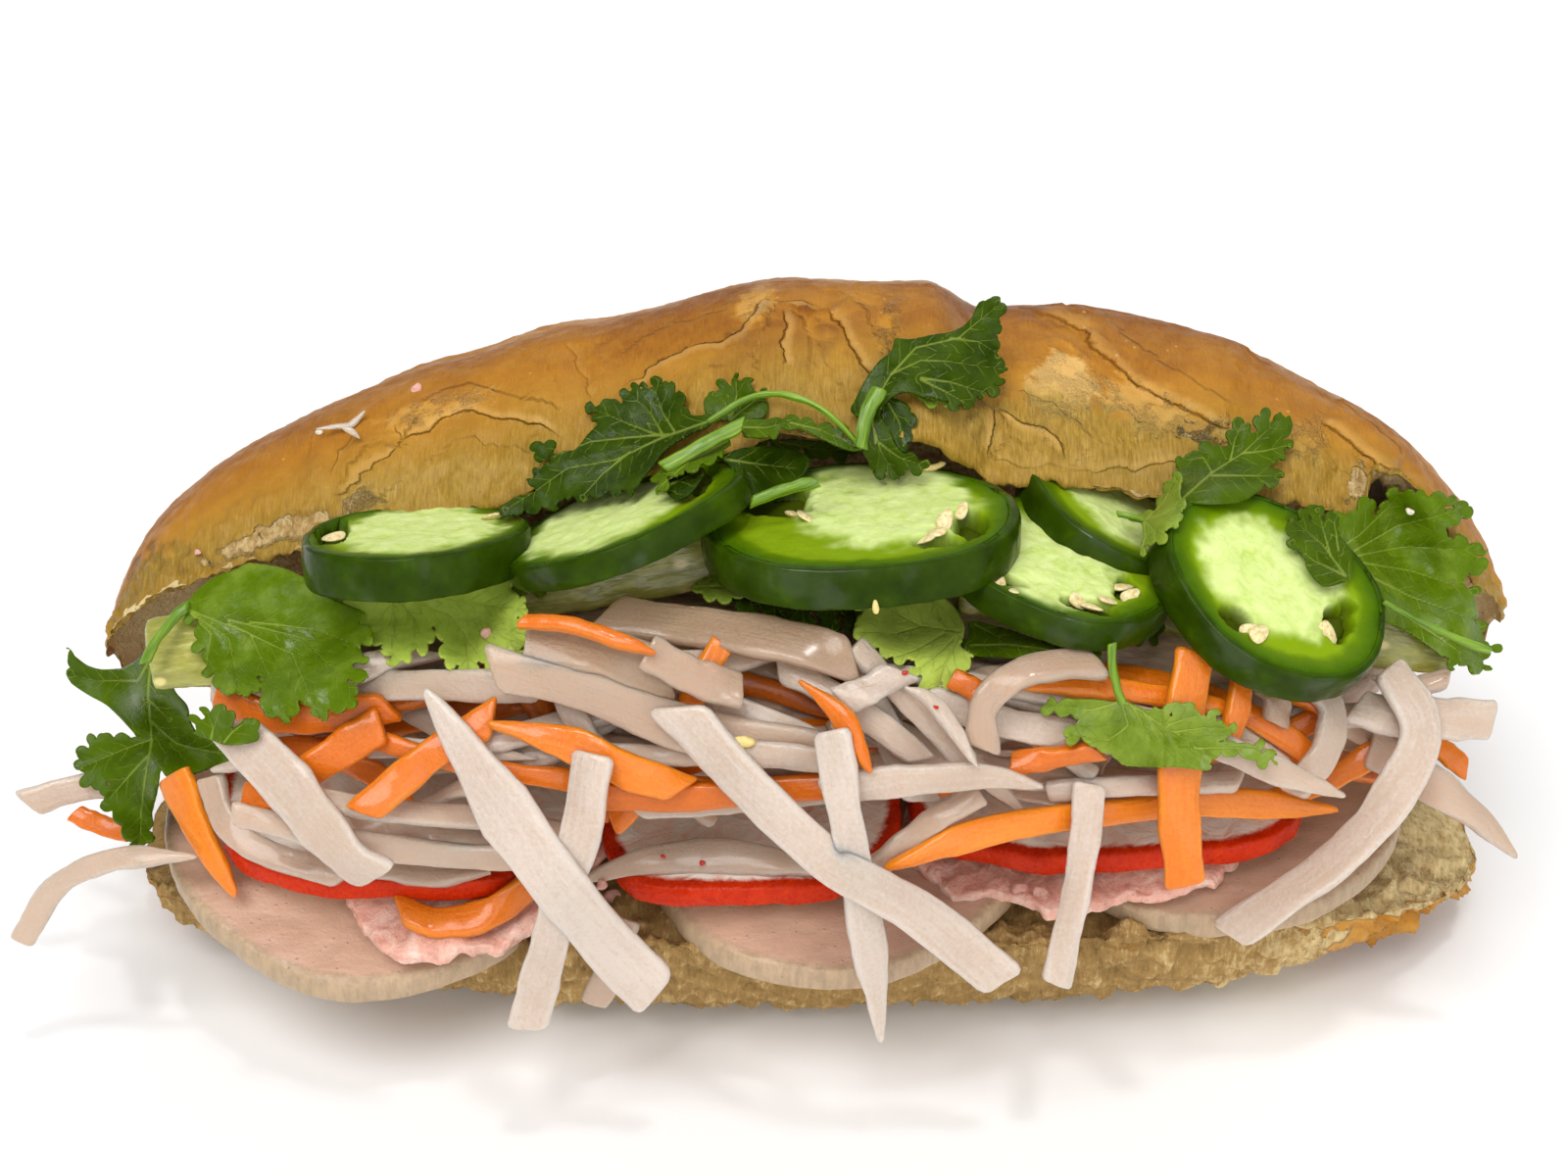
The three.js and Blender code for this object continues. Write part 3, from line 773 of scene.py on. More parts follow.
# ---- the sliced meats
# Slices of meat: the middle, the radii, how far the right side tips up in degrees, how steeply the slice
# droops in front of a y, and the phase of its uneven edge.
Slice = namedtuple("Slice", "x y z radii tip droop front phase")
PORK_ROLL_THICKNESS = 4.4
HAM_THICKNESS = 2.0
RED_RIM_THICKNESS = 4.0
PORK_ROLL_SLICES = {
    "left": Slice(-66, -16.4, 26.2, (34, 33), -3, 0.3, -34, 0.4),
    "middle": Slice(5, -20, 26.3, (30, 30), 1, 0.22, -38, 2.1),
    "right": Slice(64, -12.4, 26.8, (30.5, 28), 4, 0.2, -34, 4),
}
HAM_FOLDS = {
    "left": Slice(-52, -21.4, 30.4, (21, 27), -1, 0.25, -36, 1.2),
    "right": Slice(42, -17.4, 30.6, (27, 24), 2.5, 0.1, -30, 3),
}
RED_RIM_SLICES = {
    "left": Slice(-61, -15, 35, (29, 27), -2.5, 0, -60, 0.2),
    "middle": Slice(-8, -17, 35, (23, 27), 2, 0, -60, 1.9),
    "right": Slice(47, -11, 35.6, (31, 26), 2.2, 0, -60, 3.1),
}


def slice_points(shell, place, thickness, wobble, edge_power, outline_power=1.0):
    """An uneven disc on its shell, and each point's distance from the rim. An outline power under 1
    flattens its sides."""
    turn = np.abs(shell.along)
    rim_share = 0.22
    on_rim = np.clip(turn / rim_share, 0, 1) * math.pi / 2
    half = thickness / 2
    inwards = half * (1 - np.cos(on_rim) ** edge_power)
    flat = np.clip((turn - rim_share) / (1 - rim_share), 0, 1)
    angle = shell.around
    lobes = np.sin(3 * angle + place.phase) + 0.6 * np.sin(7 * angle + 2.3 * place.phase)
    radii = [radius * (1 + wobble * lobes) - inwards for radius in place.radii]
    px = radii[0] * (1 - flat) * signed_power(np.cos(angle), outline_power)
    py = radii[1] * (1 - flat) * signed_power(np.sin(angle), outline_power)
    pz = half * signed_power(shell.along / np.maximum(turn, 1e-9) * np.sin(on_rim), edge_power) + 0 * px
    over = np.maximum(0, place.front - (place.y + py))
    tilt = math.tan(math.radians(place.tip)) * px - place.droop * over
    points = np.stack([place.x + px, place.y + py, place.z + tilt + pz], axis=-1)
    from_rim = inwards + min(place.radii) * flat
    return points, from_rim


def pork_finish(settings):
    finish = Finish("pork_roll", (0.35, 0.0025, (1.0, 0.5, 0.3)), Specular_IOR_Level=0.5)
    from_rim = finish.attribute("from_rim")
    smear = finish.noise(3, 4, 0.6, stretch=(0.35, 1, 1))
    pores = finish.cells(1.6)
    fine = finish.noise(0.7, 3, 0.6)
    face = finish.ramp(
        finish.total((smear, 0.8), (fine, 0.2)), (0.3, tint(settings.pork, 0.86)),
        (0.5, settings.pork), (0.72, tint(settings.pork, 1.12)),
    )
    face = finish.mix(finish.span(pores, 0.14, 0.05, 0, 0.5), face, tint(settings.pork, 0.7))
    rim = finish.ramp(
        finish.noise(1.2, 4, 0.7, stretch=(1, 1, 0.3)),
        (0.3, tint(settings.pork_rim, 0.72)), (0.6, settings.pork_rim),
    )
    share = finish.span(finish.total((from_rim, 1), (fine, 0.9)), 1, 2.6)
    finish.feed("Base Color", finish.mix(share, rim, face))
    finish.feed("Roughness", finish.span(smear, 0.3, 0.7, 0.3, 0.5))
    finish.bump((smear, 0.25), (finish.span(pores, 0.2, 0), 0.12), (fine, 0.12))
    return finish.material


def make_pork_roll(settings):
    finish = pork_finish(settings)
    for name, place in PORK_ROLL_SLICES.items():
        shell = Shell(90, 220)
        points, from_rim = slice_points(shell, place, PORK_ROLL_THICKNESS, wobble=0.013, edge_power=0.5)
        points = raised(points, 0.16 * lumps(points, 5, 3, place.x) + 0.2 * lumps(points, 18, 2))
        node = f"pork_roll_slice_{name}"
        add_piece(f"pork_roll_{name}", shell, points, finish, "pork_roll", [node], from_rim=from_rim)


def ham_finish(settings):
    finish = Finish("ham", (0.4, 0.002, (1.0, 0.35, 0.25)), Specular_IOR_Level=0.55)
    muscle = finish.noise(6, 4, 0.6, warp=1.2)
    fine = finish.noise(0.9, 4, 0.7)
    colour = finish.ramp(
        finish.total((muscle, 0.75), (fine, 0.3)), (0.32, tint(settings.ham, 0.66)),
        (0.48, settings.ham), (0.66, srgb(244, 212, 196)),
    )
    finish.feed("Base Color", colour)
    finish.feed("Roughness", finish.span(fine, 0.35, 0.7, 0.24, 0.5))
    finish.bump((muscle, 0.5), (fine, 0.4))
    return finish.material


def make_ham(settings):
    finish = ham_finish(settings)
    for name, place in HAM_FOLDS.items():
        shell = Shell(70, 260)
        points, from_rim = slice_points(shell, place, HAM_THICKNESS, wobble=0.05, edge_power=0.8)
        rim = smoothstep(9, 0, from_rim)
        ragged = lumps(points * np.array((1, 1, 0)), 7.0, 4, place.x)
        middle = np.array((place.x, place.y, 0))
        spokes = unit((points - middle) * np.array((1, 1, 0)))
        points = points + spokes * (rim * 1.5 * ragged)[..., None]
        folds = lumps(points * np.array((1, 0.4, 0)), 7, 2, 4.0)
        points[..., 2] += 0.5 * folds + rim * (0.8 * folds - 0.15)
        points = raised(points, 0.3 * lumps(points, 2.4, 3))
        add_piece(f"ham_{name}", shell, points, finish, "ham", [f"ham_fold_{name}"])


def red_rim_finish(settings):
    finish = Finish("red_rim_pork", (0.1, 0.0015, (1.0, 0.3, 0.2)), Specular_IOR_Level=0.15)
    from_rim = finish.attribute("from_rim")
    marble = finish.noise(5, 4, 0.65, warp=1.5)
    fine = finish.noise(0.8, 4, 0.65)
    meat = finish.ramp(
        marble, (0.26, srgb(240, 186, 166)), (0.4, settings.red_meat), (0.56, srgb(254, 244, 232)),
    )
    red = finish.ramp(
        finish.total((marble, 0.6), (fine, 0.4)), (0.28, tint(settings.red, 0.5)),
        (0.42, settings.red), (0.7, srgb(214, 56, 0)),
    )
    share = finish.span(finish.total((from_rim, 1), (marble, 1.6), (fine, 0.8)), 2.8, 4)
    finish.feed("Base Color", finish.mix(share, red, meat))
    finish.feed("Roughness", finish.span(fine, 0.3, 0.7, 0.2, 0.4))
    finish.bump((marble, 0.5), (fine, 0.08))
    return finish.material


def make_red_rim(settings):
    finish = red_rim_finish(settings)
    for name, place in RED_RIM_SLICES.items():
        shell = Shell(80, 240)
        points, from_rim = slice_points(
            shell, place, RED_RIM_THICKNESS, wobble=0.012, edge_power=0.55, outline_power=0.6
        )
        points[..., 2] += 0.5 * lumps(points * np.array((1, 0.5, 0)), 11, 2, 2.0)
        points = raised(points, 0.28 * lumps(points, 5, 2, place.x))
        node = f"red_rim_slice_{name}"
        add_piece(f"red_rim_{name}", shell, points, finish, "red_rim_pork", [node], from_rim=from_rim)


# ---- green chilli peppers
# The room that a slice has from cut to cut, and the share of its points that lie on its skin.
PEPPER_SPACE = 6.6
PEPPER_SIDE = 0.2
PEPPER_WALL = 3.6
CHAMBER_DEPTH = 3.6
# Slices of pepper: the middle of the slice, the turn and lean of its cut face in degrees, its half sizes,
# its depth from cut to cut, and the pith's middle and half sizes as shares of the half sizes. The seed
# chambers are given like the pith.
Pepper = namedtuple("Pepper", "across up out turn lean long wide depth pith chambers")
PEPPERS = {
    "1": Pepper(-58.5, 5.5, 19, 3, 74, 16, 15, 6.6, (0.06, 0.06, 0.7, 0.82), [(-0.76, 0.16, 0.14, 0.42)]),
    "2": Pepper(-26, 8.6, 20.5, 21, 71, 18, 15, 4.4, (-0.18, 0.08, 0.64, 0.8), [(0.6, 0.2, 0.14, 0.4)]),
    "3": Pepper(9, 8, 21, 3, 62, 22.3, 17, 6.6, (0.17, 0.26, 0.56, 0.8),
                [(-0.58, 0.5, 0.26, 0.36), (0.68, -0.2, 0.1, 0.24), (0.45, -0.5, 0.16, 0.1)]),
    "4": Pepper(39, 2, 19, -14, 55, 16, 15, 5.2, (-0.15, -0.12, 0.62, 0.7),
                [(-0.55, -0.62, 0.2, 0.1), (0.3, -0.68, 0.28, 0.1), (0.58, -0.26, 0.1, 0.2)]),
    "5": Pepper(70.5, -1, 22, -32, 38, 17.5, 14.5, 6.6, (-0.1, 0.03, 0.62, 0.6),
                [(-0.2, -0.68, 0.13, 0.12), (0.6, 0.02, 0.12, 0.26)]),
    "6": Pepper(47.5, 8.6, 8, -28, 62, 15.5, 13, 5.6, (0.0, 0.1, 0.6, 0.7), []),
}
SEED_HALF_SIZES = (1.8, 1.2, 0.5)
# Seeds on a pepper's cut face: (place along, place across) as shares of its half sizes.
PEPPER_SEEDS = {
    "1": [(0.72, 0.3), (-0.7, 0.1)],
    "2": [(0.52, 0.5)],
    "3": [(-0.44, 0.1), (-0.36, 0.02), (0.64, 0.02), (0.52, -0.26), (0.41, -0.42), (0.48, -0.4)],
    "4": [(-0.66, -0.6), (-0.56, -0.64), (-0.43, -0.7), (0.14, -0.6), (0.26, -0.66), (0.39, -0.56),
          (0.51, -0.22), (0.6, -0.34), (0.23, 0.5)],
    "5": [(0.02, -0.74), (-0.06, -0.72), (0.52, -0.16)],
    "6": [],
}


def pepper_axes(place):
    """The directions along and across a slice's cut face, and the one it faces."""
    turn, lean = math.radians(place.turn), math.radians(place.lean)
    along = math.cos(turn) * ACROSS + math.sin(turn) * FACE_UP
    above = -math.sin(turn) * ACROSS + math.cos(turn) * FACE_UP
    normal = math.cos(lean) * FACE_OUT + math.sin(lean) * above
    return along, np.cross(normal, along), normal


def pepper_face(place, fx, fy, seed):
    """How high the cut face stands at shares of the half sizes, and its pith and chamber zones."""
    away = np.hypot(fx, fy)
    spot = np.stack([fx * place.long, fy * place.wide, 0 * fx + seed * 7], axis=-1)
    ragged = lumps(spot, 3.6, 3)
    mid_x, mid_y, half_x, half_y = place.pith
    pith_away = np.hypot((fx - mid_x) / half_x, (fy - mid_y) / half_y) + 0.14 * ragged
    pith = smoothstep(1.18, 0.84, pith_away) * smoothstep(0.98, 0.84, away)
    chamber = 0 * fx
    for x, y, half_x, half_y in place.chambers:
        hole = np.hypot((fx - x) / half_x, (fy - y) / half_y) + 0.3 * ragged
        chamber = np.maximum(chamber, smoothstep(1.2, 0.8, hole))
    bulge = pith * (0.35 + 0.14 * ragged + 0.03 * lumps(spot, 1.5, 2))
    slope = 0.5 * smoothstep(0.98, 0.7, away)
    height = (bulge - slope) * (1 - chamber) - CHAMBER_DEPTH * chamber - 0.25 * smoothstep(0.9, 1.0, away)
    return height, pith * (1 - chamber), chamber


def pepper_finish(settings):
    finish = Finish("green_chilli", (0.2, 0.0015, (0.5, 1.0, 0.2)))
    skin, pith, chamber = (finish.attribute(zone) for zone in ("skin", "pith", "chamber"))
    depth_in = finish.attribute("depth_in")
    cloud = finish.noise(5, 3)
    fine = finish.noise(0.8, 4, 0.7)
    sponge = finish.noise(2.6, 3, 0.55, warp=0.8)
    skin_colour = finish.ramp(
        cloud, (0.3, tint(settings.skin, 0.6)), (0.6, settings.skin), (0.8, srgb(62, 88, 2)),
    )
    wall_colour = finish.ramp(
        finish.total((depth_in, 0.8), (cloud, 0.5), (1, -0.12)), (0.08, srgb(38, 66, 0)),
        (0.4, srgb(66, 98, 0)), (0.76, settings.wall), (1.0, srgb(128, 156, 14)),
    )
    pith_colour = finish.ramp(
        finish.total((sponge, 0.8), (fine, 0.2)), (0.3, srgb(184, 208, 96)), (0.44, settings.pith),
        (0.7, srgb(218, 232, 156)),
    )
    colour = finish.mix(pith, wall_colour, pith_colour)
    # The seed chambers are painted a dark olive: painted shade in the hollows.
    colour = finish.mix(chamber, colour, srgb(66, 78, 8))
    colour = finish.mix(skin, colour, skin_colour)
    finish.feed("Base Color", colour)
    dull = finish.total((pith, 0.3), (fine, 0.2))
    finish.feed("Roughness", finish.total((skin, -0.12), (dull, 1), (cloud, 0.1), (1, 0.2)))
    sheen = finish.times(finish.span(finish.noise(8, 2), 0.5, 0.66, 0, 0.26), skin)
    finish.feed("Specular IOR Level", finish.total((sheen, 1), (1, 0.07)))
    relief = finish.times(finish.total((sponge, 0.6), (fine, 0.5)), pith)
    cut_grain = finish.times(fine, finish.maths("SUBTRACT", 1, skin))
    finish.bump((cloud, 0.3), (relief, 0.1), (cut_grain, 0.08))
    return finish.material


def make_peppers(settings):
    finish = pepper_finish(settings)
    for number, place in PEPPERS.items():
        shell = Shell(130, 170)
        seed = float(number)
        angle, turn = shell.around, np.abs(shell.along)
        on_side = np.clip(turn / PEPPER_SIDE, 0, 1)
        share = 1 - np.clip((turn - PEPPER_SIDE) / (1 - PEPPER_SIDE), 0, 1)
        share = share - 0.055 * smoothstep(0.72, 1.0, on_side) * (share > 0.999)
        lobed = 1 + 0.018 * np.sin(3 * angle + seed) + 0.012 * np.sin(5 * angle + 2 * seed)
        fx, fy = share * np.cos(angle) * lobed, share * np.sin(angle) * lobed
        height, pith, chamber = pepper_face(place, share * np.cos(angle), share * np.sin(angle), seed)
        cut = np.sign(shell.along)
        face = smoothstep(0.98, 1.0, on_side)
        level = place.depth / 2 * signed_power(np.sin(cut * on_side * math.pi / 2), 0.9) + cut * height * face
        belly = 1 + 0.03 * np.cos(on_side * math.pi / 2)
        along, side, normal = pepper_axes(place)
        centre = face_point(place.across, place.up, place.out)
        centre = centre + (PEPPER_SPACE - place.depth) / 2 * normal
        points = (
            centre + (fx * belly * place.long)[..., None] * along
            + (fy * belly * place.wide)[..., None] * side + level[..., None] * normal
        )
        points = raised(points, 0.12 * lumps(points, 4, 2, seed))
        skin = 1 - smoothstep(0.8, 0.97, on_side) + 0 * fx
        add_piece(
            f"pepper_{number}", shell, points, finish, "green_chilli", [f"pepper_slice_{number}"],
            skin=skin, pith=pith * face, chamber=chamber * face,
            depth_in=np.clip((1 - share) * min(place.long, place.wide) / PEPPER_WALL, 0, 1.2) + 0 * fx,
        )


def seed_finish(settings):
    finish = Finish("pepper_seed", (0.3, 0.0008), Roughness=0.38)
    fine = finish.noise(0.6, 3)
    finish.feed("Base Color", finish.ramp(fine, (0.3, srgb(206, 176, 112)), (0.6, settings.seed)))
    finish.bump((fine, 0.12))
    return finish.material


def make_seeds(settings):
    """Flat round seeds lying on the peppers' cut faces."""
    rng = random.Random(11)
    places = [(number, spot) for number, spots in PEPPER_SEEDS.items() for spot in spots]
    shell = Shell(12, 16, copies=len(places))
    grids = []
    for number, (fx, fy) in places:
        place = PEPPERS[number]
        along, side, normal = pepper_axes(place)
        centre = face_point(place.across, place.up, place.out)
        height = pepper_face(place, np.array([[fx]]), np.array([[fy]]), float(number))[0][0, 0]
        spin = rng.uniform(0, math.tau)
        first = math.cos(spin) * along + math.sin(spin) * side
        lean = rng.uniform(-0.7, 0.7)
        facing = unit(normal + lean * first + rng.uniform(-0.5, 0.5) * side)
        first = unit(first - facing * (first @ facing))
        second = np.cross(facing, first)
        centre = centre + fx * place.long * along + fy * place.wide * side
        centre = centre + (PEPPER_SPACE / 2 + max(height, -1.2) + 0.4) * normal
        size = rng.uniform(0.85, 1.15)
        long, wide, thick = SEED_HALF_SIZES
        ring = np.sqrt(1 - shell.along**2)
        x, y = ring * np.cos(shell.around), ring * np.sin(shell.around)
        pointed = 1 + 0.3 * x
        grids.append(
            centre + (long * size * x * pointed)[..., None] * first + (wide * size * y)[..., None] * second
            + (thick * shell.along * (1 - 0.25 * ring) + 0 * x)[..., None] * facing
        )
    add_piece("pepper_seeds", shell, np.stack(grids), seed_finish(settings), "green_chilli")


# ---- the sight field: what lies in front so far
class SightField:
    """How far out the pieces reach towards the eye, over a grid of the face plane."""

    STEP = 0.8
    LOW = np.array((-140.0, -85.0))
    HIGH = np.array((130.0, 62.0))
    NOTHING = -60.0

    def __init__(self):
        columns, rows = ((self.HIGH - self.LOW) / self.STEP).astype(int) + 1
        self.out = np.full((columns, rows), self.NOTHING)

    def cell(self, across, up):
        column = np.rint((across - self.LOW[0]) / self.STEP).astype(int)
        row = np.rint((up - self.LOW[1]) / self.STEP).astype(int)
        return np.clip(column, 0, self.out.shape[0] - 1), np.clip(row, 0, self.out.shape[1] - 1)

    def cover(self, points):
        across, up, out = sight(points.reshape(-1, 3))
        np.maximum.at(self.out, self.cell(across, up), out)

    def cover_object(self, piece):
        flat = np.empty(len(piece.data.vertices) * 3)
        piece.data.vertices.foreach_get("co", flat)
        self.cover(flat.reshape(-1, 3) / MM)

    def close(self):
        """Fills single empty cells from their neighbours."""
        around = [np.roll(np.roll(self.out, i, 0), j, 1) for i in (-1, 0, 1) for j in (-1, 0, 1)]
        empty = self.out <= self.NOTHING
        self.out = np.where(empty, np.max(around, axis=0), self.out)

    def at(self, across, up):
        return self.out[self.cell(across, up)]


FIELD = SightField()
CHANCE = random.Random(4)


def cover_pieces(*beginnings):
    """Lays the pieces whose names begin so into the field."""
    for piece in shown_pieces():
        if piece.name.startswith(beginnings):
            FIELD.cover_object(piece)
    FIELD.close()


# ---- pickled strips
# Strips: the width, the route in (across, up), and the two ends where they aren't both cut. A tip tapers
# and a cut end is blunt. The first of a list lie deepest.
CUT = "cut,cut"
DAIKON_ROUTES = [
    (6.6, [(-42, -8.5), (-30, -10), (-20, -13)]),
    (6.6, [(-30, -4), (-14.5, -6), (-0.5, -8.5), (8, -11)]),
    (5.4, [(-23.5, -9.5), (-16, -13.5), (-9, -15.5)]),
    (4.2, [(69.5, -13.5), (71.5, -17), (71.5, -20.5)]),
    (4.6, [(27.5, -24.5), (27.5, -18), (32, -13.5), (38.5, -11.5), (45, -11.5)]),
    (4.6, [(75, -13), (80, -18), (79, -25), (74, -31)]),
    (4.2, [(-89.5, -28.5), (-87, -35.5), (-81, -40), (-68.5, -43.5)]),
    (3.2, [(86, -13.5), (92, -15), (98, -13.5)], "tip,cut"),
    (4.4, [(-99, -29.5), (-108, -30), (-117, -32.5)]),
    (6.4, [(-47, -12), (-32.5, -15.5), (-20, -20.5), (-9, -23), (3, -24.5)]),
    (3.7, [(-9.5, -25), (1.5, -26), (11, -29.5)], "cut,tip"),
    (5.6, [(-33, -44.2), (-23, -41.2), (-10, -40.6), (5, -43)], "tip,tip"),
    (3.7, [(11.5, -42), (19.5, -35.5), (27, -31)]),
    (4.4, [(3.5, -31), (12, -29.5), (27.5, -28.5), (36.5, -30)], "cut,tip"),
    (5.2, [(-68.5, -35.5), (-57.5, -36.5), (-46, -39), (-39.5, -42)], "cut,tip"),
    (3.2, [(-65.5, -42), (-56, -43.5), (-47, -43)], "cut,tip"),
    (3.8, [(-86, -34), (-70, -38), (-52, -40.5), (-36, -41)]),
    (3.4, [(-80, -30), (-64, -33.5), (-46, -35), (-34, -37.5)], "tip,cut"),
    (4.4, [(6, -17), (10.5, -15), (15, -12.5)]),
    (2.2, [(15.5, -15), (20.5, -18), (26.5, -27)], "tip,tip"),
    (4.4, [(62.5, -23.5), (71.5, -27.5), (82, -31.5)], "cut,tip"),
]
DAIKON_TOP_ROUTES = [
    (6.4, [(86, -23.5), (95, -29.5), (102.5, -35), (108, -40.5)], "cut,tip"),
    (6.4, [(83.5, -18), (92, -19.5), (104.5, -20)]),
    (3.7, [(-91.5, -40.5), (-103.5, -41), (-112.5, -45), (-118, -53.5)], "tip,cut"),
    (7.4, [(-86.5, -20.5), (-78, -29.5), (-69.5, -40), (-64, -43.5)]),
    (4.4, [(-26.5, -50), (-28.5, -57), (-31.5, -63)]),
    (5.8, [(-31.5, -25), (-33.5, -37), (-36.5, -47.5), (-41.5, -66.5)]),
    (4.4, [(43.5, -29.5), (42.5, -40), (40.5, -50.5), (38.5, -60)]),
    (5.2, [(4.5, -21.5), (6.5, -34), (9, -47.5), (11, -59.5), (12, -68.5)], "cut,tip"),
    (6.6, [(-19, -18), (-8.5, -29.5), (4.5, -41.5), (18, -49.5), (30.5, -59.5)]),
    (8.6, [(-57, -15.5), (-50, -26), (-40.5, -40), (-31, -52), (-22, -61.5)], "tip,cut"),
    (6.2, [(88.5, -12), (93.5, -20.5), (90.5, -29.5), (82, -40), (64.5, -52.5)]),
]
CARROT_ROUTES = [
    (5.0, [(-88.5, -16), (-79, -19.5), (-62, -18)]),
    (3.2, [(22.5, -13.5), (25.5, -15), (28, -17)]),
    (3.4, [(31.5, -26.5), (39, -25.5), (45, -24.5)]),
    (4.2, [(-32.5, -31.5), (-14.5, -31.5), (3, -30), (15.5, -29.5)]),
    (3.4, [(66.5, -13), (66, -18), (64.5, -23)]),
    (4.2, [(73, -15.5), (76, -17), (79, -19.5)], "cut,tip"),
    (3.0, [(89, -15), (93.5, -15), (97.5, -13.5)], "cut,tip"),
    (3.4, [(94.5, -22.5), (97.5, -25), (100.5, -27.5)]),
    (3.2, [(-110, -34), (-106.5, -35.5), (-102, -37)]),
    (5.2, [(-84.5, -32.5), (-76, -28.5), (-63.5, -20.5)]),
]
CARROT_TOP_ROUTES = [
    (2.2, [(-42.5, -5), (-35.5, -5.5), (-29, -7.5), (-22, -10)], "cut,tip"),
    (4.8, [(-66.5, -34), (-55, -24.5), (-46.5, -19.5)]),
    (5.2, [(-47.5, -20.5), (-35.5, -23.5), (-28, -27), (-18, -30.5)], "tip,cut"),
    (3.4, [(-0.5, -14), (6, -19.5), (10.5, -28)], "tip,tip"),
    (4.8, [(-61, -48.5), (-55, -50.5), (-47, -49), (-40.5, -44.5)]),
    (4.2, [(12.5, -42.5), (27, -37), (42, -34.5), (61, -32.5), (81, -33.5)], "tip,tip"),
    (7.0, [(-95, -28), (-91, -37), (-85.5, -46.5)], "cut,tip"),
    (6.2, [(59.5, -9.5), (57.5, -22), (57, -34), (58, -45)]),
]
# The heap of strips: its middle, half sizes, lean away from the open side and lowest level.
HEAP_MIDDLE = (-1, -9, 52)
HEAP_SIZE = (99, 39, 27)
HEAP_LEAN = math.radians(28)
HEAP_LEVEL = 39.3
CORE_INSET = (8, 13, 13)
CARROT_SHARE = 0.2
# Where strips may lie: behind this y, this far over the floor, and no further in than this out.
STRIP_FRONT = -58.0
FLOOR_CLEARANCE = 1.6
DEEPEST_OUT = -14.0
# The tightest bend, as a radius, of a strip and of a filler, and how far a filler sinks into the rest.
STRIP_BEND = 60.0
FILLER_BEND = 30.0
FILLER_SINK = 0.4


def smooth_route(route, count=60):
    """Evenly spaced points on a smooth curve through the route's points."""
    ends = np.array(route, dtype=float)
    ends = np.vstack([2 * ends[0] - ends[1], ends, 2 * ends[-1] - ends[-2]])
    share = np.linspace(0, 1, 24, endpoint=False)[:, None]
    curve = []
    for a, b, c, d in zip(ends, ends[1:], ends[2:], ends[3:]):
        cubic = -a + 3 * b - 3 * c + d
        curve.append(b + 0.5 * share * (c - a + share * (2 * a - 5 * b + 4 * c - d + share * cubic)))
    curve = np.vstack(curve + [ends[-2:-1]])
    length = np.concatenate([[0], np.cumsum(np.linalg.norm(np.diff(curve, axis=0), axis=1))])
    even = np.linspace(0, length[-1], count)
    return np.stack([np.interp(even, length, curve[:, i]) for i in range(ends.shape[1])], axis=1), length[-1]


def end_taper(share, ends, length, width):
    """How a strip's width goes to its ends: a tip tapers over a few widths, a cut end hardly at all."""
    taper = np.ones_like(share)
    for kind, from_end in zip(ends.split(","), (share, 1 - share)):
        reach = (2.6 if kind == "tip" else 0.06) * width / length
        least = 0.12 if kind == "tip" else 0.9
        taper *= least + (1 - least) * np.clip(from_end / reach, 0, 1) ** 0.8
    return taper


def out_limits(path):
    """How far in and out a strip may lie along its path: over the floor and behind the front."""
    foot = face_point(*path.T, 0.0)
    least = (FLOOR_CLEARANCE - foot[:, 2]) * SIGHT_DISTANCE / (EYE[2] - foot[:, 2])
    most = (foot[:, 1] - STRIP_FRONT) * SIGHT_DISTANCE / (foot[:, 1] - EYE[1])
    return np.maximum(least, DEEPEST_OUT), most


def lay_strip(route, width, thickness, ends, wave, roof=None):
    """Lays a strip over what the field holds: its centre line, side and facing directions, and widths.
    Under a roof it bends more, and is left out where it would rise above the roof."""
    path, length = smooth_route(route)
    step = np.gradient(path, axis=0)
    side = unit(np.stack([-step[:, 1], step[:, 0]], axis=1))
    share = np.linspace(0, 1, len(path))
    reach = [FIELD.at(*(path + side * (offset * width)).T) for offset in (-0.38, 0.0, 0.38)]
    under = np.maximum(reach[1], 0.5 * (reach[0] + reach[2]))
    place = share * length
    sag = (place[:, None] - place[None, :]) ** 2 / (2 * (FILLER_BEND if roof else STRIP_BEND))
    least, most = out_limits(path)
    rest = under + thickness / 2 - (FILLER_SINK if roof else 0.0)
    out = np.maximum(rest, np.minimum((rest[None, :] - sag).max(axis=1), most))
    out = np.maximum(blur(out, 24, axis=0), least)
    above = 0.0
    if roof:
        above = np.percentile(out - roof.at(*path.T), 80)
        if above > 0:
            return None
    tilt = blur(np.clip((reach[2] - reach[0]) / (0.76 * width), -0.5, 0.5), 60, axis=0)
    centre = face_point(*path.T, out)
    widths = width * end_taper(share, ends, length, width)
    widths = widths * (1 + 0.06 * np.sin(7 * share + wave) + 0.03 * np.sin(23 * share + 2 * wave))
    tangent = unit(np.gradient(centre, axis=0))
    side_3d = side[:, :1] * ACROSS + side[:, 1:] * FACE_UP + tilt[:, None] * FACE_OUT
    side_3d = unit(side_3d - tangent * (side_3d * tangent).sum(axis=1, keepdims=True))
    facing = np.cross(tangent, side_3d)
    roll = 0.2 * np.sin(2.6 * share + wave)[:, None]
    cos, sin = np.cos(roll), np.sin(roll)
    side_3d, facing = side_3d * cos + facing * sin, facing * cos - side_3d * sin
    for offset in np.linspace(-0.46, 0.46, 9):
        for nudge in (-0.3, 0.0, 0.3):
            top = centre + side_3d * (offset * widths)[:, None] + facing * (thickness / 2)
            FIELD.cover(top + tangent * nudge)
    return (centre, side_3d, facing, widths, length), above


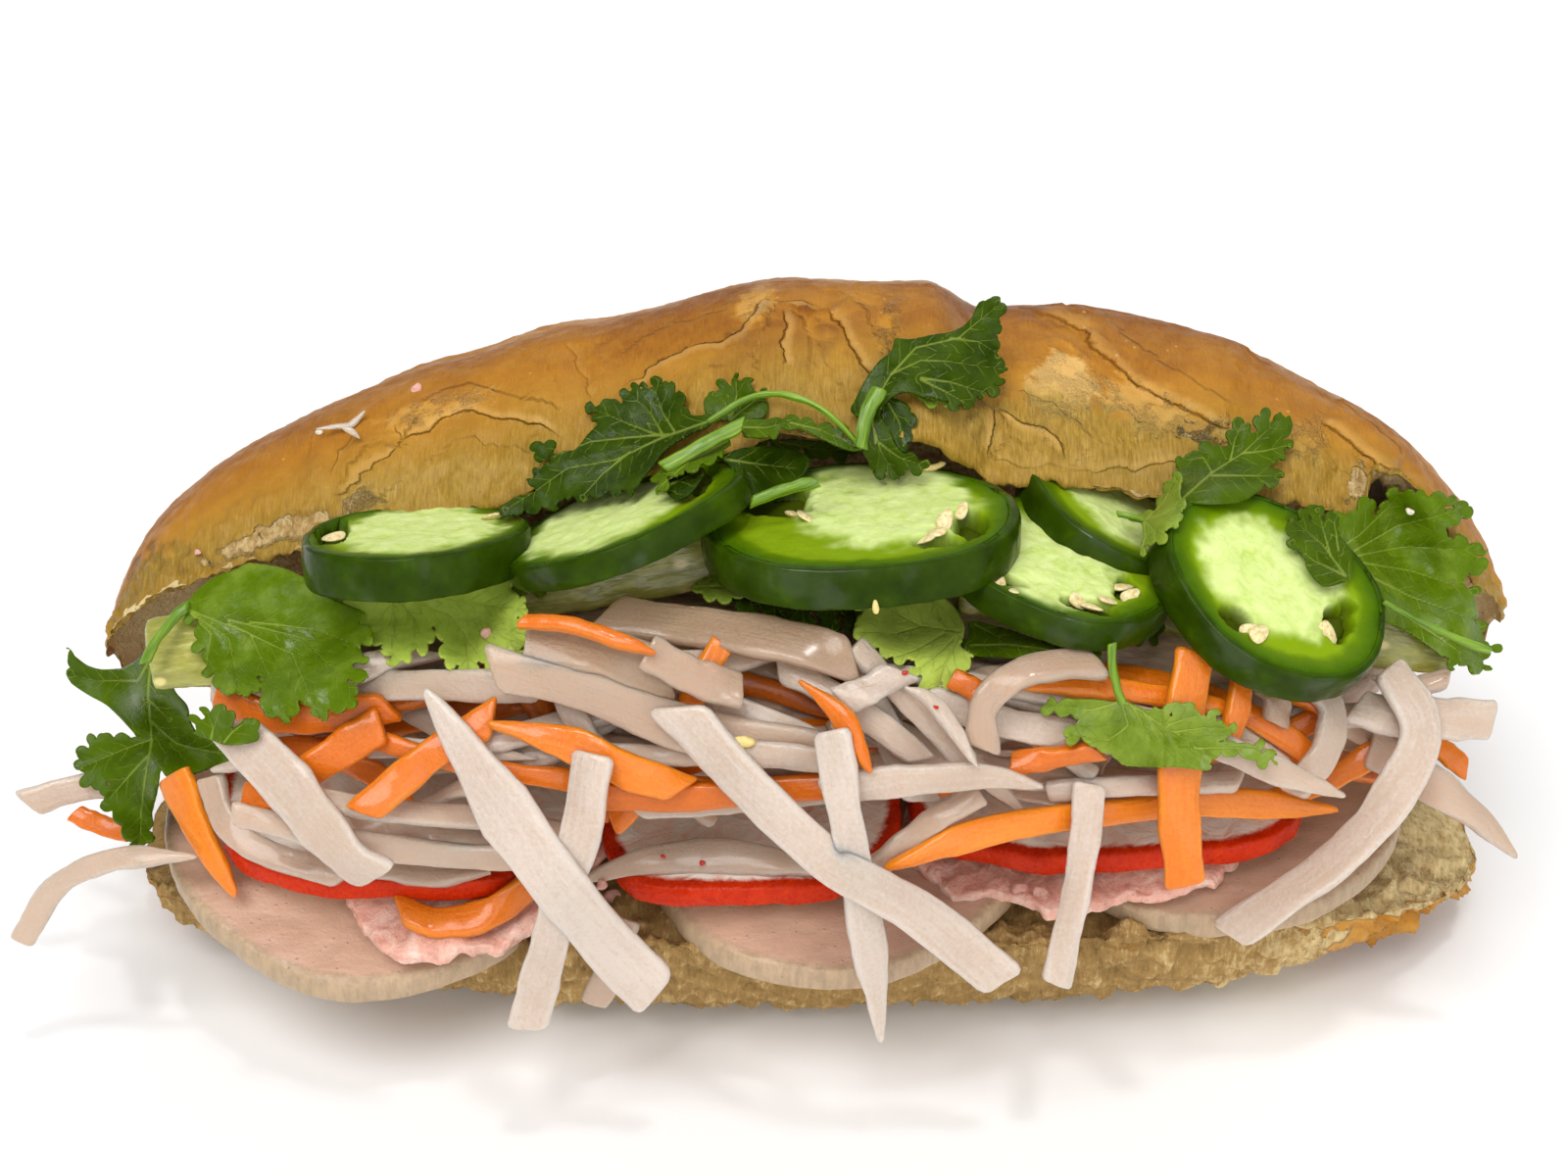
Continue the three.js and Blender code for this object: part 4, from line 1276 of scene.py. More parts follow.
def strip_grid(shell, laid, thickness, squareness, wave, slants=(0.0, 0.0)):
    """The grid of one strip over its laid centre line, and its grain coordinates. Its ends are slanted."""
    centre, side, facing, widths, length = laid
    rings = len(shell.along)
    ends = [0.0, 0.0, 0.006]
    share = np.concatenate([ends, np.linspace(0.02, 0.98, rings - 6), [0.994, 1.0, 1.0]])
    girth = np.concatenate([[0, 0.8, 0.95], np.ones(rings - 6), [0.95, 0.8, 0]])[:, None]
    share = share[::-1]
    at = share * (len(centre) - 1)

    def sampled(values):
        return np.stack([np.interp(at, np.arange(len(centre)), values[:, i]) for i in range(3)], axis=1)

    middle, across, up = sampled(centre), unit(sampled(side)), unit(sampled(facing))
    width = np.interp(at, np.arange(len(centre)), widths)[:, None] * girth
    cos, sin = np.cos(shell.around), np.sin(shell.around)
    x = signed_power(cos, squareness) * width / 2
    thin = thickness * np.minimum(1, 0.45 + 0.9 * width / max(widths.max(), 1e-6))
    y = signed_power(sin, squareness) * thin / 2 * girth
    y = y - 0.05 * thickness * (2 * x / np.maximum(width, 1e-6)) ** 2
    points = middle[:, None, :] + x[..., None] * across[:, None, :] + y[..., None] * up[:, None, :]
    fades = [hump(from_end * length, 1.4 * widths.max()) for from_end in (share, 1 - share)]
    slant = sum(lean * fade for lean, fade in zip(slants, fades))[:, None] * x
    points += slant[..., None] * np.cross(across, up)[:, None, :]
    along = np.broadcast_to((share * length)[:, None], x.shape)
    grain = np.stack([along, x + 20 * wave, y + 0 * x], axis=-1)
    return points, grain


def plan_strips(routes, thickness, rng, roof=None, shades=(0.7, 0.7, 0.7)):
    """Lays strips in order over the field: each one's line, wave, slants and shade. Their shades run
    through three values from the first to the last, or under a roof by how deep they lie."""
    plans = []
    hues = np.interp(np.linspace(0, 1, len(routes)), (0, 0.15, 1), shades)
    for (width, route, *ends), hue in zip(routes, hues):
        wave = rng.uniform(0, math.tau)
        slants = [rng.uniform(-0.8, 0.8) for _ in range(2)]
        placed = lay_strip(route, width, thickness, *ends or (CUT,), wave, roof)
        if placed:
            laid, above = placed
            # Under a roof, deeper strips get a lower shade, which paints them darker: painted shade.
            shade = 0.2 + 0.45 * float(smoothstep(-11, -1, above)) if roof else hue
            plans.append((laid, wave, slants, shade + 0.3 * rng.random()))
    return plans


def add_strips(name, plans, thickness, finish, slot, stands_for=(), squareness=0.5):
    """Joins planned strips into one piece."""
    shell = Shell(34, 16, copies=len(plans))
    grids, grains = zip(*(
        strip_grid(shell, laid, thickness, squareness, wave, slants) for laid, wave, slants, _ in plans
    ))
    points = np.stack(grids)
    shades = np.array([shade for *_, shade in plans])[:, None, None]
    points = raised(points, 0.16 * lumps(points, 4.5, 2) + 0.05 * lumps(points, 1.6, 1))
    # edge: a painted highlight that lightens each strip towards its sides.
    edge = np.abs(signed_power(np.cos(shell.around), squareness)) + 0 * shades
    add_piece(
        name, shell, points, finish, slot, stands_for, grain=np.stack(grains), shade=shades, edge=edge
    )


def lay_strips(name, routes, thickness, finish, slot, rng, squareness=1.0):
    plans = plan_strips(routes, thickness, rng)
    add_strips(name, plans, thickness, finish, slot, squareness=squareness)


def strip_finish(name, soft, clear, *colours):
    """Wet, see-through vegetable flesh with fibres along the strip: five colours from murky to vivid, where
    the darker ones are painted shade for deep or shadowed strips.
    """
    finish = Finish(name, soft, Specular_IOR_Level=0.4, IOR=1.36, Coat_Weight=0.5, Coat_Roughness=0.16)
    grain = finish.attribute("grain", vector=True)
    shade = finish.attribute("shade")
    # edge: painted highlight along the strip's sides.
    edge = finish.span(finish.attribute("edge"), 0.66, 0.96)
    fibres = finish.noise(1.2, 3, 0.55, stretch=(0.12, 1.9, 1.9), place=grain)
    patches = finish.noise(7, 2, 0.5, stretch=(0.5, 1, 1), place=grain)
    fine = finish.noise(0.6, 2, 0.6)
    tone = finish.total((shade, 0.6), (patches, 0.26), (fibres, 0.3), (fine, 0.38), (edge, 0.14), (1, -0.22))
    finish.feed("Base Color", finish.ramp(tone, *zip((0.08, 0.27, 0.48, 0.72, 0.95), colours)))
    finish.feed("Roughness", finish.span(finish.total((fine, 0.3), (patches, 0.7)), 0.35, 0.65, 0.31, 0.44))
    finish.feed("Transmission Weight", finish.span(shade, 0.2, 1, clear, 0.4 * clear))
    finish.bump((patches, 0.5), (fibres, 0.2), (fine, 0.19))
    return finish.material


# The heap's upper and lower edges on the open side, as (across, up) stops.
HEAP_TOP = [(-95, -14), (-60, -10), (-40, -8.5), (-15, -7), (30, -10), (60, -15), (95, -17)]
HEAP_FOOT = [(-95, -38), (-60, -37), (0, -34), (60, -34), (95, -33)]


def filler_routes(rng, count):
    """Long curved strips scattered over the heap, the deepest first."""
    routes = []
    for _ in range(count):
        across = rng.uniform(-84, 86)
        half = min(rng.uniform(14, 32), across + 99, 101 - across)
        turn = rng.gauss(0, 0.42) if rng.random() < 0.85 else rng.uniform(-1.3, 1.3)
        cos, sin = math.cos(turn), math.sin(turn)
        half *= 1 - 0.55 * abs(sin)
        bow = rng.gauss(0, 0.16) * half
        shares = (-1, -0.4, 0.4, 1)
        xs = [across + share * half * cos - bow * (1 - share**2) * sin for share in shares]
        ys = [share * half * sin + bow * (1 - share**2) * cos for share in shares]
        tops, feet = (np.interp(xs, *zip(*stops)) for stops in (HEAP_TOP, HEAP_FOOT))
        highest = min(top - y for top, y in zip(tops, ys))
        lowest = max(foot - y for foot, y in zip(feet, ys))
        up = rng.uniform(lowest, highest) if lowest < highest else (lowest + highest) / 2
        ends = rng.choice((CUT, CUT, "cut,tip", "tip,tip"))
        routes.append((rng.uniform(2.6, 5.0), [(x, y + up) for x, y in zip(xs, ys)], ends))
    return routes


def heap_points(along, around, inset=(0, 0, 0)):
    """The heap's outline, or a smaller one inside it, as a grid of points."""
    ring = np.sqrt(1 - along**2)
    long, deep, tall = np.subtract(HEAP_SIZE, inset)
    x = long * signed_power(along + 0 * around, 0.9)
    y = deep * signed_power(ring * np.cos(around), 0.8)
    z = tall * signed_power(ring * np.sin(around), 0.8)
    cos, sin = math.cos(HEAP_LEAN), math.sin(HEAP_LEAN)
    mid_x, mid_y, mid_z = HEAP_MIDDLE
    points = np.stack([mid_x + x, mid_y + y * cos + z * sin, mid_z + z * cos - y * sin], axis=-1)
    points[..., 2] = np.maximum(points[..., 2], HEAP_LEVEL)
    return points


def heap_roof():
    """The field of the heap's outline, which its loose filling stays under."""
    roof = SightField()
    roof.cover(heap_points(np.linspace(1, -1, 400)[:, None], np.linspace(0, math.tau, 400)[None, :]))
    roof.close()
    return roof


def make_core(settings):
    """The heap's inner mass, a little under its strips, painted darker than deep daikon as painted shade in
    the gaps.
    """
    shell = Shell(90, 110)
    points = heap_points(shell.along, shell.around, CORE_INSET)
    points = raised(points, 0.9 * lumps(points, 6, 3))
    points[..., 2] = np.maximum(points[..., 2], HEAP_LEVEL - 1)
    finish = Finish("pickle_core", (0.3, 0.003), Roughness=0.45)
    streaks = finish.noise(3, 4, 0.6, stretch=(0.3, 1, 1))
    # The core's colours are deep daikon darkened: painted shade in the gaps between strips.
    deep = settings.daikon_deep
    finish.feed("Base Color", finish.ramp(streaks, (0.35, tint(deep, 0.5)), (0.6, tint(deep, 0.85))))
    finish.bump((streaks, 0.8))
    add_piece("pickle_core", shell, points, finish.material, "pickle", ["pickle_heap"])


# ---- cucumber
CUCUMBER_THICKNESS = 4.0
CUCUMBERS = {
    "left": (11, [(-98, -10, 6), (-84, -8, 12), (-60, -1, 11), (-38, 1.5, 13), (-12, 6, 10)]),
    "right": (10, [(24, 1, 10), (48, -1, 9), (72, -5, 9), (98, -8.5, 4)]),
}


def cucumber_finish(settings):
    finish = Finish("cucumber", (0.6, 0.004, (0.8, 1.0, 0.4)), Specular_IOR_Level=0.6)
    grain = finish.attribute("grain", vector=True)
    streaks = finish.noise(1.4, 3, 0.6, stretch=(0.25, 1, 1), place=grain)
    seeds = finish.cells(4.2, stretch=(0.55, 1, 1), place=grain)
    flesh = settings.cucumber
    colour = finish.ramp(streaks, (0.32, tint(flesh, 0.7)), (0.6, flesh), (0.8, srgb(218, 216, 150)))
    colour = finish.mix(finish.span(seeds, 0.22, 0.08), colour, srgb(226, 210, 140))
    finish.feed("Base Color", colour)
    finish.feed("Roughness", finish.span(streaks, 0.3, 0.7, 0.16, 0.34))
    finish.bump((streaks, 0.3), (seeds, 0.3))
    return finish.material


def make_cucumber(settings):
    finish = cucumber_finish(settings)
    for name, (width, route) in CUCUMBERS.items():
        shell = Shell(120, 40)
        path, length = smooth_route(route)
        centre = face_point(*path.T)
        tangent = unit(np.gradient(centre, axis=0))
        side = unit(np.cross(FACE_OUT, tangent))
        widths = np.full(len(path), float(width))
        laid = (centre, side, np.cross(tangent, side), widths, length)
        points, grain = strip_grid(shell, laid, CUCUMBER_THICKNESS, squareness=0.35, wave=1.0)
        points = raised(points, 0.25 * lumps(points, 6, 2) + 0.1 * lumps(points, 2, 2))
        add_piece(
            f"cucumber_{name}", shell, points, finish, "cucumber", [f"cucumber_plank_{name}"], grain=grain
        )


# ---- coriander
# Leaves, in tenths of a millimetre on the face plane: where the outline starts; its runs, by turns smooth
# and toothed, as steps across and up from point to point; the veins from the stalk outwards, each as steps
# from where the outline starts; then how light the leaf is, how far it stands off and how much its edge
# rises. How light a leaf is holds its own tone with painted light and shade: leaves lying in shadow are set
# darker, down to 0 for the plain dark ones in the hollow between the second and third peppers, and some
# shaded leaves are set lighter.
UNDER_LEAVES = [
    ((-104, -6), [[(0, 0)], [(12, -27), (15, -14), (13, 20), (15, -32), (19, -3), (3, 25), (23, -30),
      (16, 8), (6, 41), (15, -41), (17, -8), (12, 20), (12, -12), (18, 26)], [(0, 29)]],
     [[(25, -3), (5, -32)], [(63, -3), (0, -47)], [(104, -3), (3, -50)], [(151, -3), (3, -50)]], 0.12, 0.6,
      0.5),
    ((-167, 0), [[(0, 0)], [(22, 15), (22, 10), (22, 5), (37, -5), (23, -25), (-8, -12), (-22, -6), (-18, 9),
      (-19, -9), (-30, 0)]],
     [[(4, -1), (107, 4)], [(51, 3), (15, 21)]], 0.72, 0.8, 0.5),
    ((-501, 6), [[(0, 0), (30, 9)], [(30, 3), (37, 0), (22, -9), (-8, -18), (-25, 2), (-12, -9), (-29, 7),
      (-23, 0)]],
     [[(8, -3), (103, 0)]], 0.5, 0.6, 0.3),
    ((-690, -12), [[(0, 0), (68, 19), (76, 9), (56, 8)], [(51, -17), (-1, -17), (20, -4), (-3, -10),
      (11, -7), (-4, -11), (-17, -8), (27, -9), (4, -14), (-4, -15), (-14, -2), (5, -13), (-5, -16),
      (-22, 1), (-2, -13), (-12, -2), (-17, 7), (-15, 23), (-2, -23), (-13, -9), (-11, 4), (-8, 15),
      (-9, -2), (-13, 13), (-4, 27), (-4, 17), (-7, -2), (-2, -17), (-12, -19), (-15, -1), (-9, -11),
      (-27, -1), (4, 11), (-19, 6), (2, 9), (-13, 4)], [(-13, 17), (-27, 24)]],
     [[(68, 9), (95, -41), (56, -14), (61, -15)], [(163, -32), (19, -32), (5, -55)], [(191, -40), (32, -40),
      (11, -39)], [(144, 0), (75, -15), (55, -6)], [(68, 9), (38, -47), (-4, -49)], [(68, 9), (6, -58),
      (-6, -50)], [(210, -46), (38, -22), (24, -34)]], 0.92, 1.2, 1),
    ((-930, -27), [[(0, 0)], [(0, -25), (16, -4), (-3, -36), (16, -3), (-4, -35), (20, -3), (1, -18),
      (34, -11), (26, 6), (1, 35)], [(5, -19)], [(3, -45), (13, -6), (29, -13), (16, 38), (13, -16),
      (19, -22), (8, 18), (34, 4), (13, 20), (-14, 22), (28, 3), (-16, 18), (15, 14), (-32, 16), (29, -1),
      (11, 18), (-24, 25)], [(13, 10), (-52, 22), (-32, 26), (-42, 19), (-48, 7), (-22, -10), (-29, -10),
      (-29, -22)]],
     [[(0, -4), (64, -45), (16, -86)], [(0, -4), (96, -38), (61, -135)], [(64, -26), (96, -48), (45, -103)],
      [(64, -20), (112, -29), (81, -86)], [(96, -23), (97, -13), (77, -29)], [(0, -4), (38, -38),
      (-9, -61)]], 0.5, 1.6, 2.2),
    ((238, -81), [[(0, 0), (13, 5), (2, 24), (12, 2), (30, -9), (28, -8), (41, -14), (54, -7), (33, -3),
      (-4, -21), (-56, 0), (-68, 6), (-61, 3), (-11, 8)]],
     [[(16, -8), (55, 2), (131, -16)], [(22, 25), (49, -25)]], 0.28, 0.8, 0.6),
    ((84, -30), [[], [(0, 0), (6, -11), (-13, -15), (6, -15), (9, -13), (22, -8), (14, -14), (16, -7),
      (23, 7), (8, -3), (-11, -19), (13, -11), (3, -11), (11, -4), (14, -3), (8, 14), (8, -11), (12, 10),
      (7, 0), (4, 16), (10, 20)], [(6, 5), (-20, 14), (3, 13), (3, 17), (-11, 24), (-19, 20), (-22, 11),
      (-36, -6), (-41, -5), (-22, -11)]],
     [[(154, -37), (-58, 8), (-36, -11), (-57, 3)], [(96, -29), (-49, 27), (-44, -1)], [(132, -40),
      (-44, -25), (-36, -13)], [(148, -46), (-33, -30), (-27, -22)], [(151, -48), (-19, -39), (-11, -35)],
      [(110, 23), (16, -44)]], 1.2, 1.3, 1.4),
    ((477, 74), [[(0, 0), (67, -15)], [(10, -66), (-18, -74), (-15, 10), (-14, -18), (-15, 22)]],
     [[(37, -15), (7, -133)]], 0.3, 0.6, 0.5),
]
OVER_LEAVES = [
    ((-917, -220), [[(0, 0), (3, 8)], [(-8, 16), (14, 1), (0, 13), (16, -3), (16, 5), (13, -8), (7, -19),
      (22, 12), (10, -12)], [(1, -23), (-43, -8), (-32, 11)]],
     [[(25, -10), (4, 19), (-10, 23)], [(45, -13), (12, 16), (26, 19)]], 0.35, 1, 0.6),
    ((-988, -95), [[(0, 0), (-16, -13), (-23, -13), (-32, -2), (-21, 6), (-16, 12)], [(-15, 14), (7, -15),
      (-5, -15)], [(4, -22), (27, -19), (29, -16), (22, -20), (21, -27)], [(-24, 2), (-26, 3), (-19, -3),
      (-1, -15), (-15, -8), (-7, -22), (9, -13), (3, -16), (18, -4), (19, 5), (-11, -14), (4, -21),
      (17, -11), (12, -23), (8, -25), (7, -17), (11, -11), (5, 10), (6, -5), (-1, 19), (9, 15), (-4, 21)],
      [(4, 22), (8, 32), (4, 29), (8, -9), (13, -4), (32, 8), (38, 13), (45, 8)], [(23, 0), (-2, 7), (14, 4),
      (-25, 7)], [(-23, 6), (-32, 4), (-32, 8), (-13, 19), (-6, 26), (-16, 19), (-16, 35), (-7, 16)]],
     [[(6, -6), (-19, -39), (-64, 0), (-42, 10)], [(6, -6), (-6, -65), (6, -64), (-45, -16), (-61, -26)],
      [(6, -135), (-12, -80), (-10, -97)], [(3, -103), (42, -38), (64, -13), (64, -3)], [(0, -161),
      (-61, -64)], [(0, -71), (32, -32)]], 0.28, 1.8, 2.2),
    ((-146, 263), [[(0, 0)], [(2, 29), (17, 0), (2, 19), (15, -2), (11, 15), (8, -13), (15, 3), (-2, -19),
      (23, 6), (2, -21)], [(-6, -24), (-53, -4)]],
     [[(38, -9), (-8, 26), (-15, 12)], [(38, -9), (11, 38), (-2, 26)], [(38, -9), (34, 26), (15, 15)]], 0.2,
      0.5, 0.5),
    ((-120, 197), [[(0, 0), (27, 13), (38, 4), (41, -4), (20, -9), (7, -11), (-12, -19), (-26, -19),
      (-46, -17), (-18, 13), (-19, 34)]],
     [[(4, -4), (117, -15)]], 0, 0.2, 0),
    ((-207, 156), [[(0, 0), (23, 15), (27, 11), (11, -8), (-15, -22), (-15, -15), (-15, -4), (-10, 7)]],
     [[(4, -4), (46, 22)]], 0, 0.2, 0),
    ((-120, 210), [[(0, 0), (27, 13), (26, 5)], [(23, -3), (13, -15)], [(-2, 14), (34, 0), (31, -3),
      (26, -2), (30, -7)], [(-15, -9), (-15, -9), (-19, 4), (-19, -5), (-14, 15), (-20, 5), (-17, -5),
      (-28, 8), (-34, -6), (-15, -2)]],
     [[(87, 10), (53, -10), (53, -2)], [(0, 0), (49, 12), (27, -2)]], 0.4, 1, 0.8),
    ((-89, 253), [[(0, 0), (34, 2)], [(34, 2), (22, 0), (23, -6), (15, -5), (25, -5), (-2, -11)], [(28, -19),
      (-17, -3), (-30, 11), (-38, 18)], [(-26, 6), (-19, -9), (-4, -9)], [(-27, 3), (-17, 2)]],
     [[(1, -11), (33, 0), (30, 8)], [(71, -3), (46, -11), (53, -27)]], 0.3, 1.4, 0.8),
    ((-108, 216), [[(0, 0)], [(-12, -8), (-3, -10), (-27, -10), (-26, -15), (-23, -5), (-6, -13),
      (-14, -13)], [(5, 15), (-15, 6), (22, 19), (31, 17), (37, 17), (27, 11)]],
     [[(-4, 4), (-57, -30), (-49, -42)]], 0.42, 1, 0.8),
    ((-131, 265), [[(0, 0), (-19, -4), (-19, 1)], [(-10, 18), (-6, 20), (-6, -4), (-5, 16), (-9, -1),
      (-5, -12), (-5, 15), (-10, 0), (-6, -11), (-7, 8), (-6, -4), (-2, -11), (-8, 10), (-7, -10), (-9, -1),
      (-2, -12), (-12, 0), (-15, 5), (-2, -15), (-19, 4), (-2, -9), (13, -7), (-8, -8)], [(8, -7),
      (-15, -15), (-19, -23)], [(-24, -3), (-7, 12), (-16, 3), (-17, -9), (8, -16), (22, -7), (-25, -8),
      (2, -11), (-13, -4), (10, -13)], [(-6, -9), (-21, -6), (-27, -17), (5, -11)], [(38, 5), (30, 9),
      (12, -2), (10, 14), (27, 0), (34, 9), (26, -4), (10, 12), (6, -8)], [(15, 19), (15, 17), (22, 28),
      (38, 25), (30, 13)]],
     [[(0, -11), (-76, -27), (-75, -34), (-72, -13), (-94, -64)], [(-68, -34), (-60, -4), (-61, -7),
      (-76, -30)], [(-76, -38), (-22, 38), (-30, 27)], [(-60, -30), (-19, 30), (-15, 42)], [(-76, -38),
      (-52, 19), (-57, 25)], [(-128, -60), (-42, -34), (-30, -34)]], 0.06, 1, 1.6),
    ((118, 260), [[(0, 0), (4, 14), (15, 13), (19, -7)], [(12, -14), (1, -23), (-8, -8), (3, -13),
      (-8, -14)], [(-9, 2), (-10, 16), (-11, 19)]],
     [[(13, 18), (16, -27), (6, -37)]], 0.02, 0.3, 0.3),
    ((164, 295), [[(0, 0), (16, -5), (17, 3)], [(21, -10), (0, -8), (-16, -1), (-9, 2)], [(-13, 8)]],
     [[(8, -2), (42, -17)]], 0.6, 0.8, 0.4),
    ((92, 220), [[(0, 0), (-2, 31), (-16, 17), (5, 12), (10, 21), (12, 21), (17, 21), (17, 14), (6, 19),
      (23, -1), (29, 6), (31, 5), (19, 9), (14, 14), (9, 19)], [(11, 8), (10, -2), (10, 3), (8, -9),
      (-2, -14), (-2, -15), (-2, -17), (-5, -8), (2, -17), (-1, -10), (14, -9), (2, -8), (-13, -6), (6, -12),
      (-14, -1), (4, -10), (-3, -8), (-15, -1), (-5, -5), (-16, 6), (-13, 12), (15, -19), (2, -12),
      (-12, -1), (-6, 5), (-2, -8), (-11, 2), (-11, 11)], [(-12, 4), (-25, 2), (-16, 6), (-15, -1),
      (-14, -7), (-13, -13), (-4, -14), (13, -19), (8, -21), (8, -12)], [(13, -7), (16, -4), (15, -8),
      (-6, -11), (-9, -4), (-12, 5), (-16, -1), (6, -6), (-5, -8), (-12, 2), (-11, 8), (-6, -6), (-12, 8)],
      [(-7, 15), (-9, 15)]],
     [[(18, 0), (-4, 52), (29, 50), (45, 21), (44, -2), (81, -11)], [(43, 102), (37, 40), (63, 14),
      (62, 52)], [(88, 96), (44, -6), (56, -17)], [(14, 31), (12, -41), (27, -42)], [(88, 94), (34, -17),
      (37, -21)], [(26, 0), (29, -21), (38, -14)], [(132, 156), (42, -4), (29, -17)]], 0.1, 1.8, 2.4),
    ((569, 141), [[(0, 0)], [(7, 22), (-12, 19), (6, 17), (19, 0), (6, 9), (17, 10), (15, -1), (7, -7),
      (13, 13), (-2, 11), (13, 18), (15, -2), (6, -16), (7, 8), (1, 17), (14, 9), (9, -14), (14, 10),
      (12, -3), (-1, -10), (6, -10), (-17, -14), (15, -7), (-2, -11), (-13, -5), (4, -9), (-19, -5),
      (-18, -5), (18, 2), (11, -12), (7, -7), (-18, -12), (-16, -4)], [(-15, -15), (-23, -9), (-47, -2),
      (-30, 4)]],
     [[(8, -7), (43, 38), (46, 31), (54, 51)], [(51, 31), (-12, 24), (-31, -4)], [(78, 51), (8, 31),
      (7, 23)], [(97, 62), (31, 4), (39, 8)], [(51, 27), (46, 0), (54, -1)]], 0.24, 1.4, 1.4),
    ((492, 111), [[(0, 0), (19, -1)], [(23, 12), (12, 23), (12, 16), (7, 11), (11, -12), (-7, -17), (10, -9),
      (-7, -14), (4, -10), (-11, -7), (7, -10), (-18, -2), (-2, -12), (-14, -12), (-7, 9), (-6, -9),
      (-10, -17), (-5, 6)], [(7, 19), (-4, 23), (-18, 5)]],
     [[(8, -5), (23, -3), (27, 27), (15, 31)], [(31, -8), (23, 7), (25, 12)], [(29, -12), (13, -12),
      (4, -15)], [(27, -12), (2, -24), (-7, -21)]], 0.66, 1.2, 0.8),
    ((829, 14), [[(0, 0), (-39, -12), (-25, 27), (-6, 19)], [(-22, 20), (3, 11), (-9, 24), (9, 6), (8, -6),
      (7, 12), (13, -9), (1, 13), (11, 8), (9, -11), (1, -15), (12, 16), (4, -11)], [(7, -27), (12, -15),
      (8, -19)]],
     [[(-8, 3), (-35, 47), (-46, 39)], [(-31, 34), (-19, 70)], [(-19, 42), (-8, 54)], [(-8, 3), (-50, 24),
      (-31, 27)]], 0.22, 1.2, 1.4),
    ((746, 79), [[(0, 0), (56, 35), (19, -3)], [(19, 11), (10, 12), (12, 0), (0, -20), (17, 12), (8, 15),
      (12, 8), (11, -8), (12, 6), (15, 2), (4, -8), (20, 0), (23, -7), (-16, -20), (20, 12), (21, 0),
      (-2, -16), (-12, -8), (-19, -16), (-4, -12), (20, 2), (19, -8), (27, -8), (-19, -12), (13, -9),
      (2, -10), (-11, -5), (-16, -9), (-24, -4), (16, -10), (22, -3), (2, -9), (-8, -15), (8, -13),
      (-14, -8), (21, -9), (2, -16), (-2, -9), (24, -10), (-28, -16), (16, -15), (-23, -4), (-27, 16),
      (-6, -14), (-10, 6), (-4, 15)], [(-15, 8), (-39, 27), (-58, 27), (-47, 22), (-27, 13), (-23, 35),
      (-15, 27)]],
     [[(17, -34), (77, 3), (78, 16), (112, -8)], [(48, -31), (46, 31), (62, 62)], [(75, -31), (78, 47),
      (96, 23)], [(75, -38), (97, -16), (97, -31)], [(94, -54), (78, -39), (108, -38)], [(56, -54),
      (77, -46), (78, -51), (85, -23)], [(191, -135), (89, -66)]], 0.48, 1.6, 2.4),
    ((373, -162), [[], [(0, 0), (6, -7), (-13, -7), (1, -11), (17, -2), (24, -8)], [(13, 0)], [(-18, -18),
      (-5, -8), (4, -10), (19, 0), (14, 1), (8, -10), (13, -2)], [(21, -16), (11, -8), (37, -3), (42, 0),
      (40, -4)], [(12, 7), (-2, 12), (29, 1), (27, 1), (13, -9), (11, -6), (10, 6), (11, -3), (-5, 8),
      (6, 7), (-20, 3), (-7, 2), (2, 12), (-19, -3)], [(-26, 6), (-21, -2)], [(24, 14), (2, 12), (-13, 4),
      (-16, 0), (5, 14), (-15, 0), (-11, -6), (-5, 2), (-2, 17), (-14, 0), (-11, 3), (-12, -8), (-3, -11),
      (-2, 14), (-20, -2)], [(-10, -5), (-24, 9), (-16, 8), (-13, -4), (-24, 3), (-32, 1)], [(-29, -2)]],
     [[(109, -8), (32, -16), (40, -27), (63, -42)], [(109, -8), (11, -37), (-32, -24), (-53, 8)],
      [(104, -11), (-42, -11), (-64, 8)], [(141, -24), (32, -37), (2, -43)], [(181, -45), (39, 15)],
      [(189, -56), (53, 8), (34, -3)], [(220, -80), (53, 0), (43, 0)], [(125, -16), (32, -51)]], 0.62, 1.4,
      1.2),
]
# Stalks: the width and the route in (across, up).
STALKS = [
    (1.5, [(-92.7, -2.7), (-94.3, -3.9), (-95.9, -5.8), (-97.5, -7.9), (-98.6, -9.8), (-99.3, -11.4)]),
    (2.1, [(-21, 18.2), (-18, 19.9), (-13.5, 22.4), (-8.8, 24.8)]),
    (1.05, [(-14.2, 25), (-11.6, 26.7), (-9.3, 28.2), (-6.3, 29.2), (-2.5, 29.2), (1.6, 27.8), (5, 25.4),
            (7.3, 23.1), (9.2, 21)]),
    (1.9, [(-7.8, 12.9), (-4.8, 14.1), (-1, 15.3), (2.2, 16.1)]),
    (1.3, [(47, -8.3), (46.9, -10.2), (47, -12.5), (47.6, -14.9), (48.5, -17.6)]),
    (1.0, [(51.5, 10.3), (50, 10.8), (47.6, 11.2)]),
    (2.2, [(8.9, 21), (9.5, 25.1), (10.4, 27.6), (11.8, 30.1)]),
    (0.9, [(87.9, -2.1), (93.7, -5.2), (99.5, -7.9), (104.2, -9.6)]),
]
STALK_THICKNESS = 1.2
# The width of a leaf's grid cells, and of the teeth and lobes along its edge.
LEAF_STEP = 0.28
LEAF_TOOTH = 2.7
LEAF_LOBE = 8.5


def walk(start, steps):
    """The points in millimetres that steps in tenths of a millimetre lead to."""
    return (np.cumsum(steps, axis=0) + start) / 10


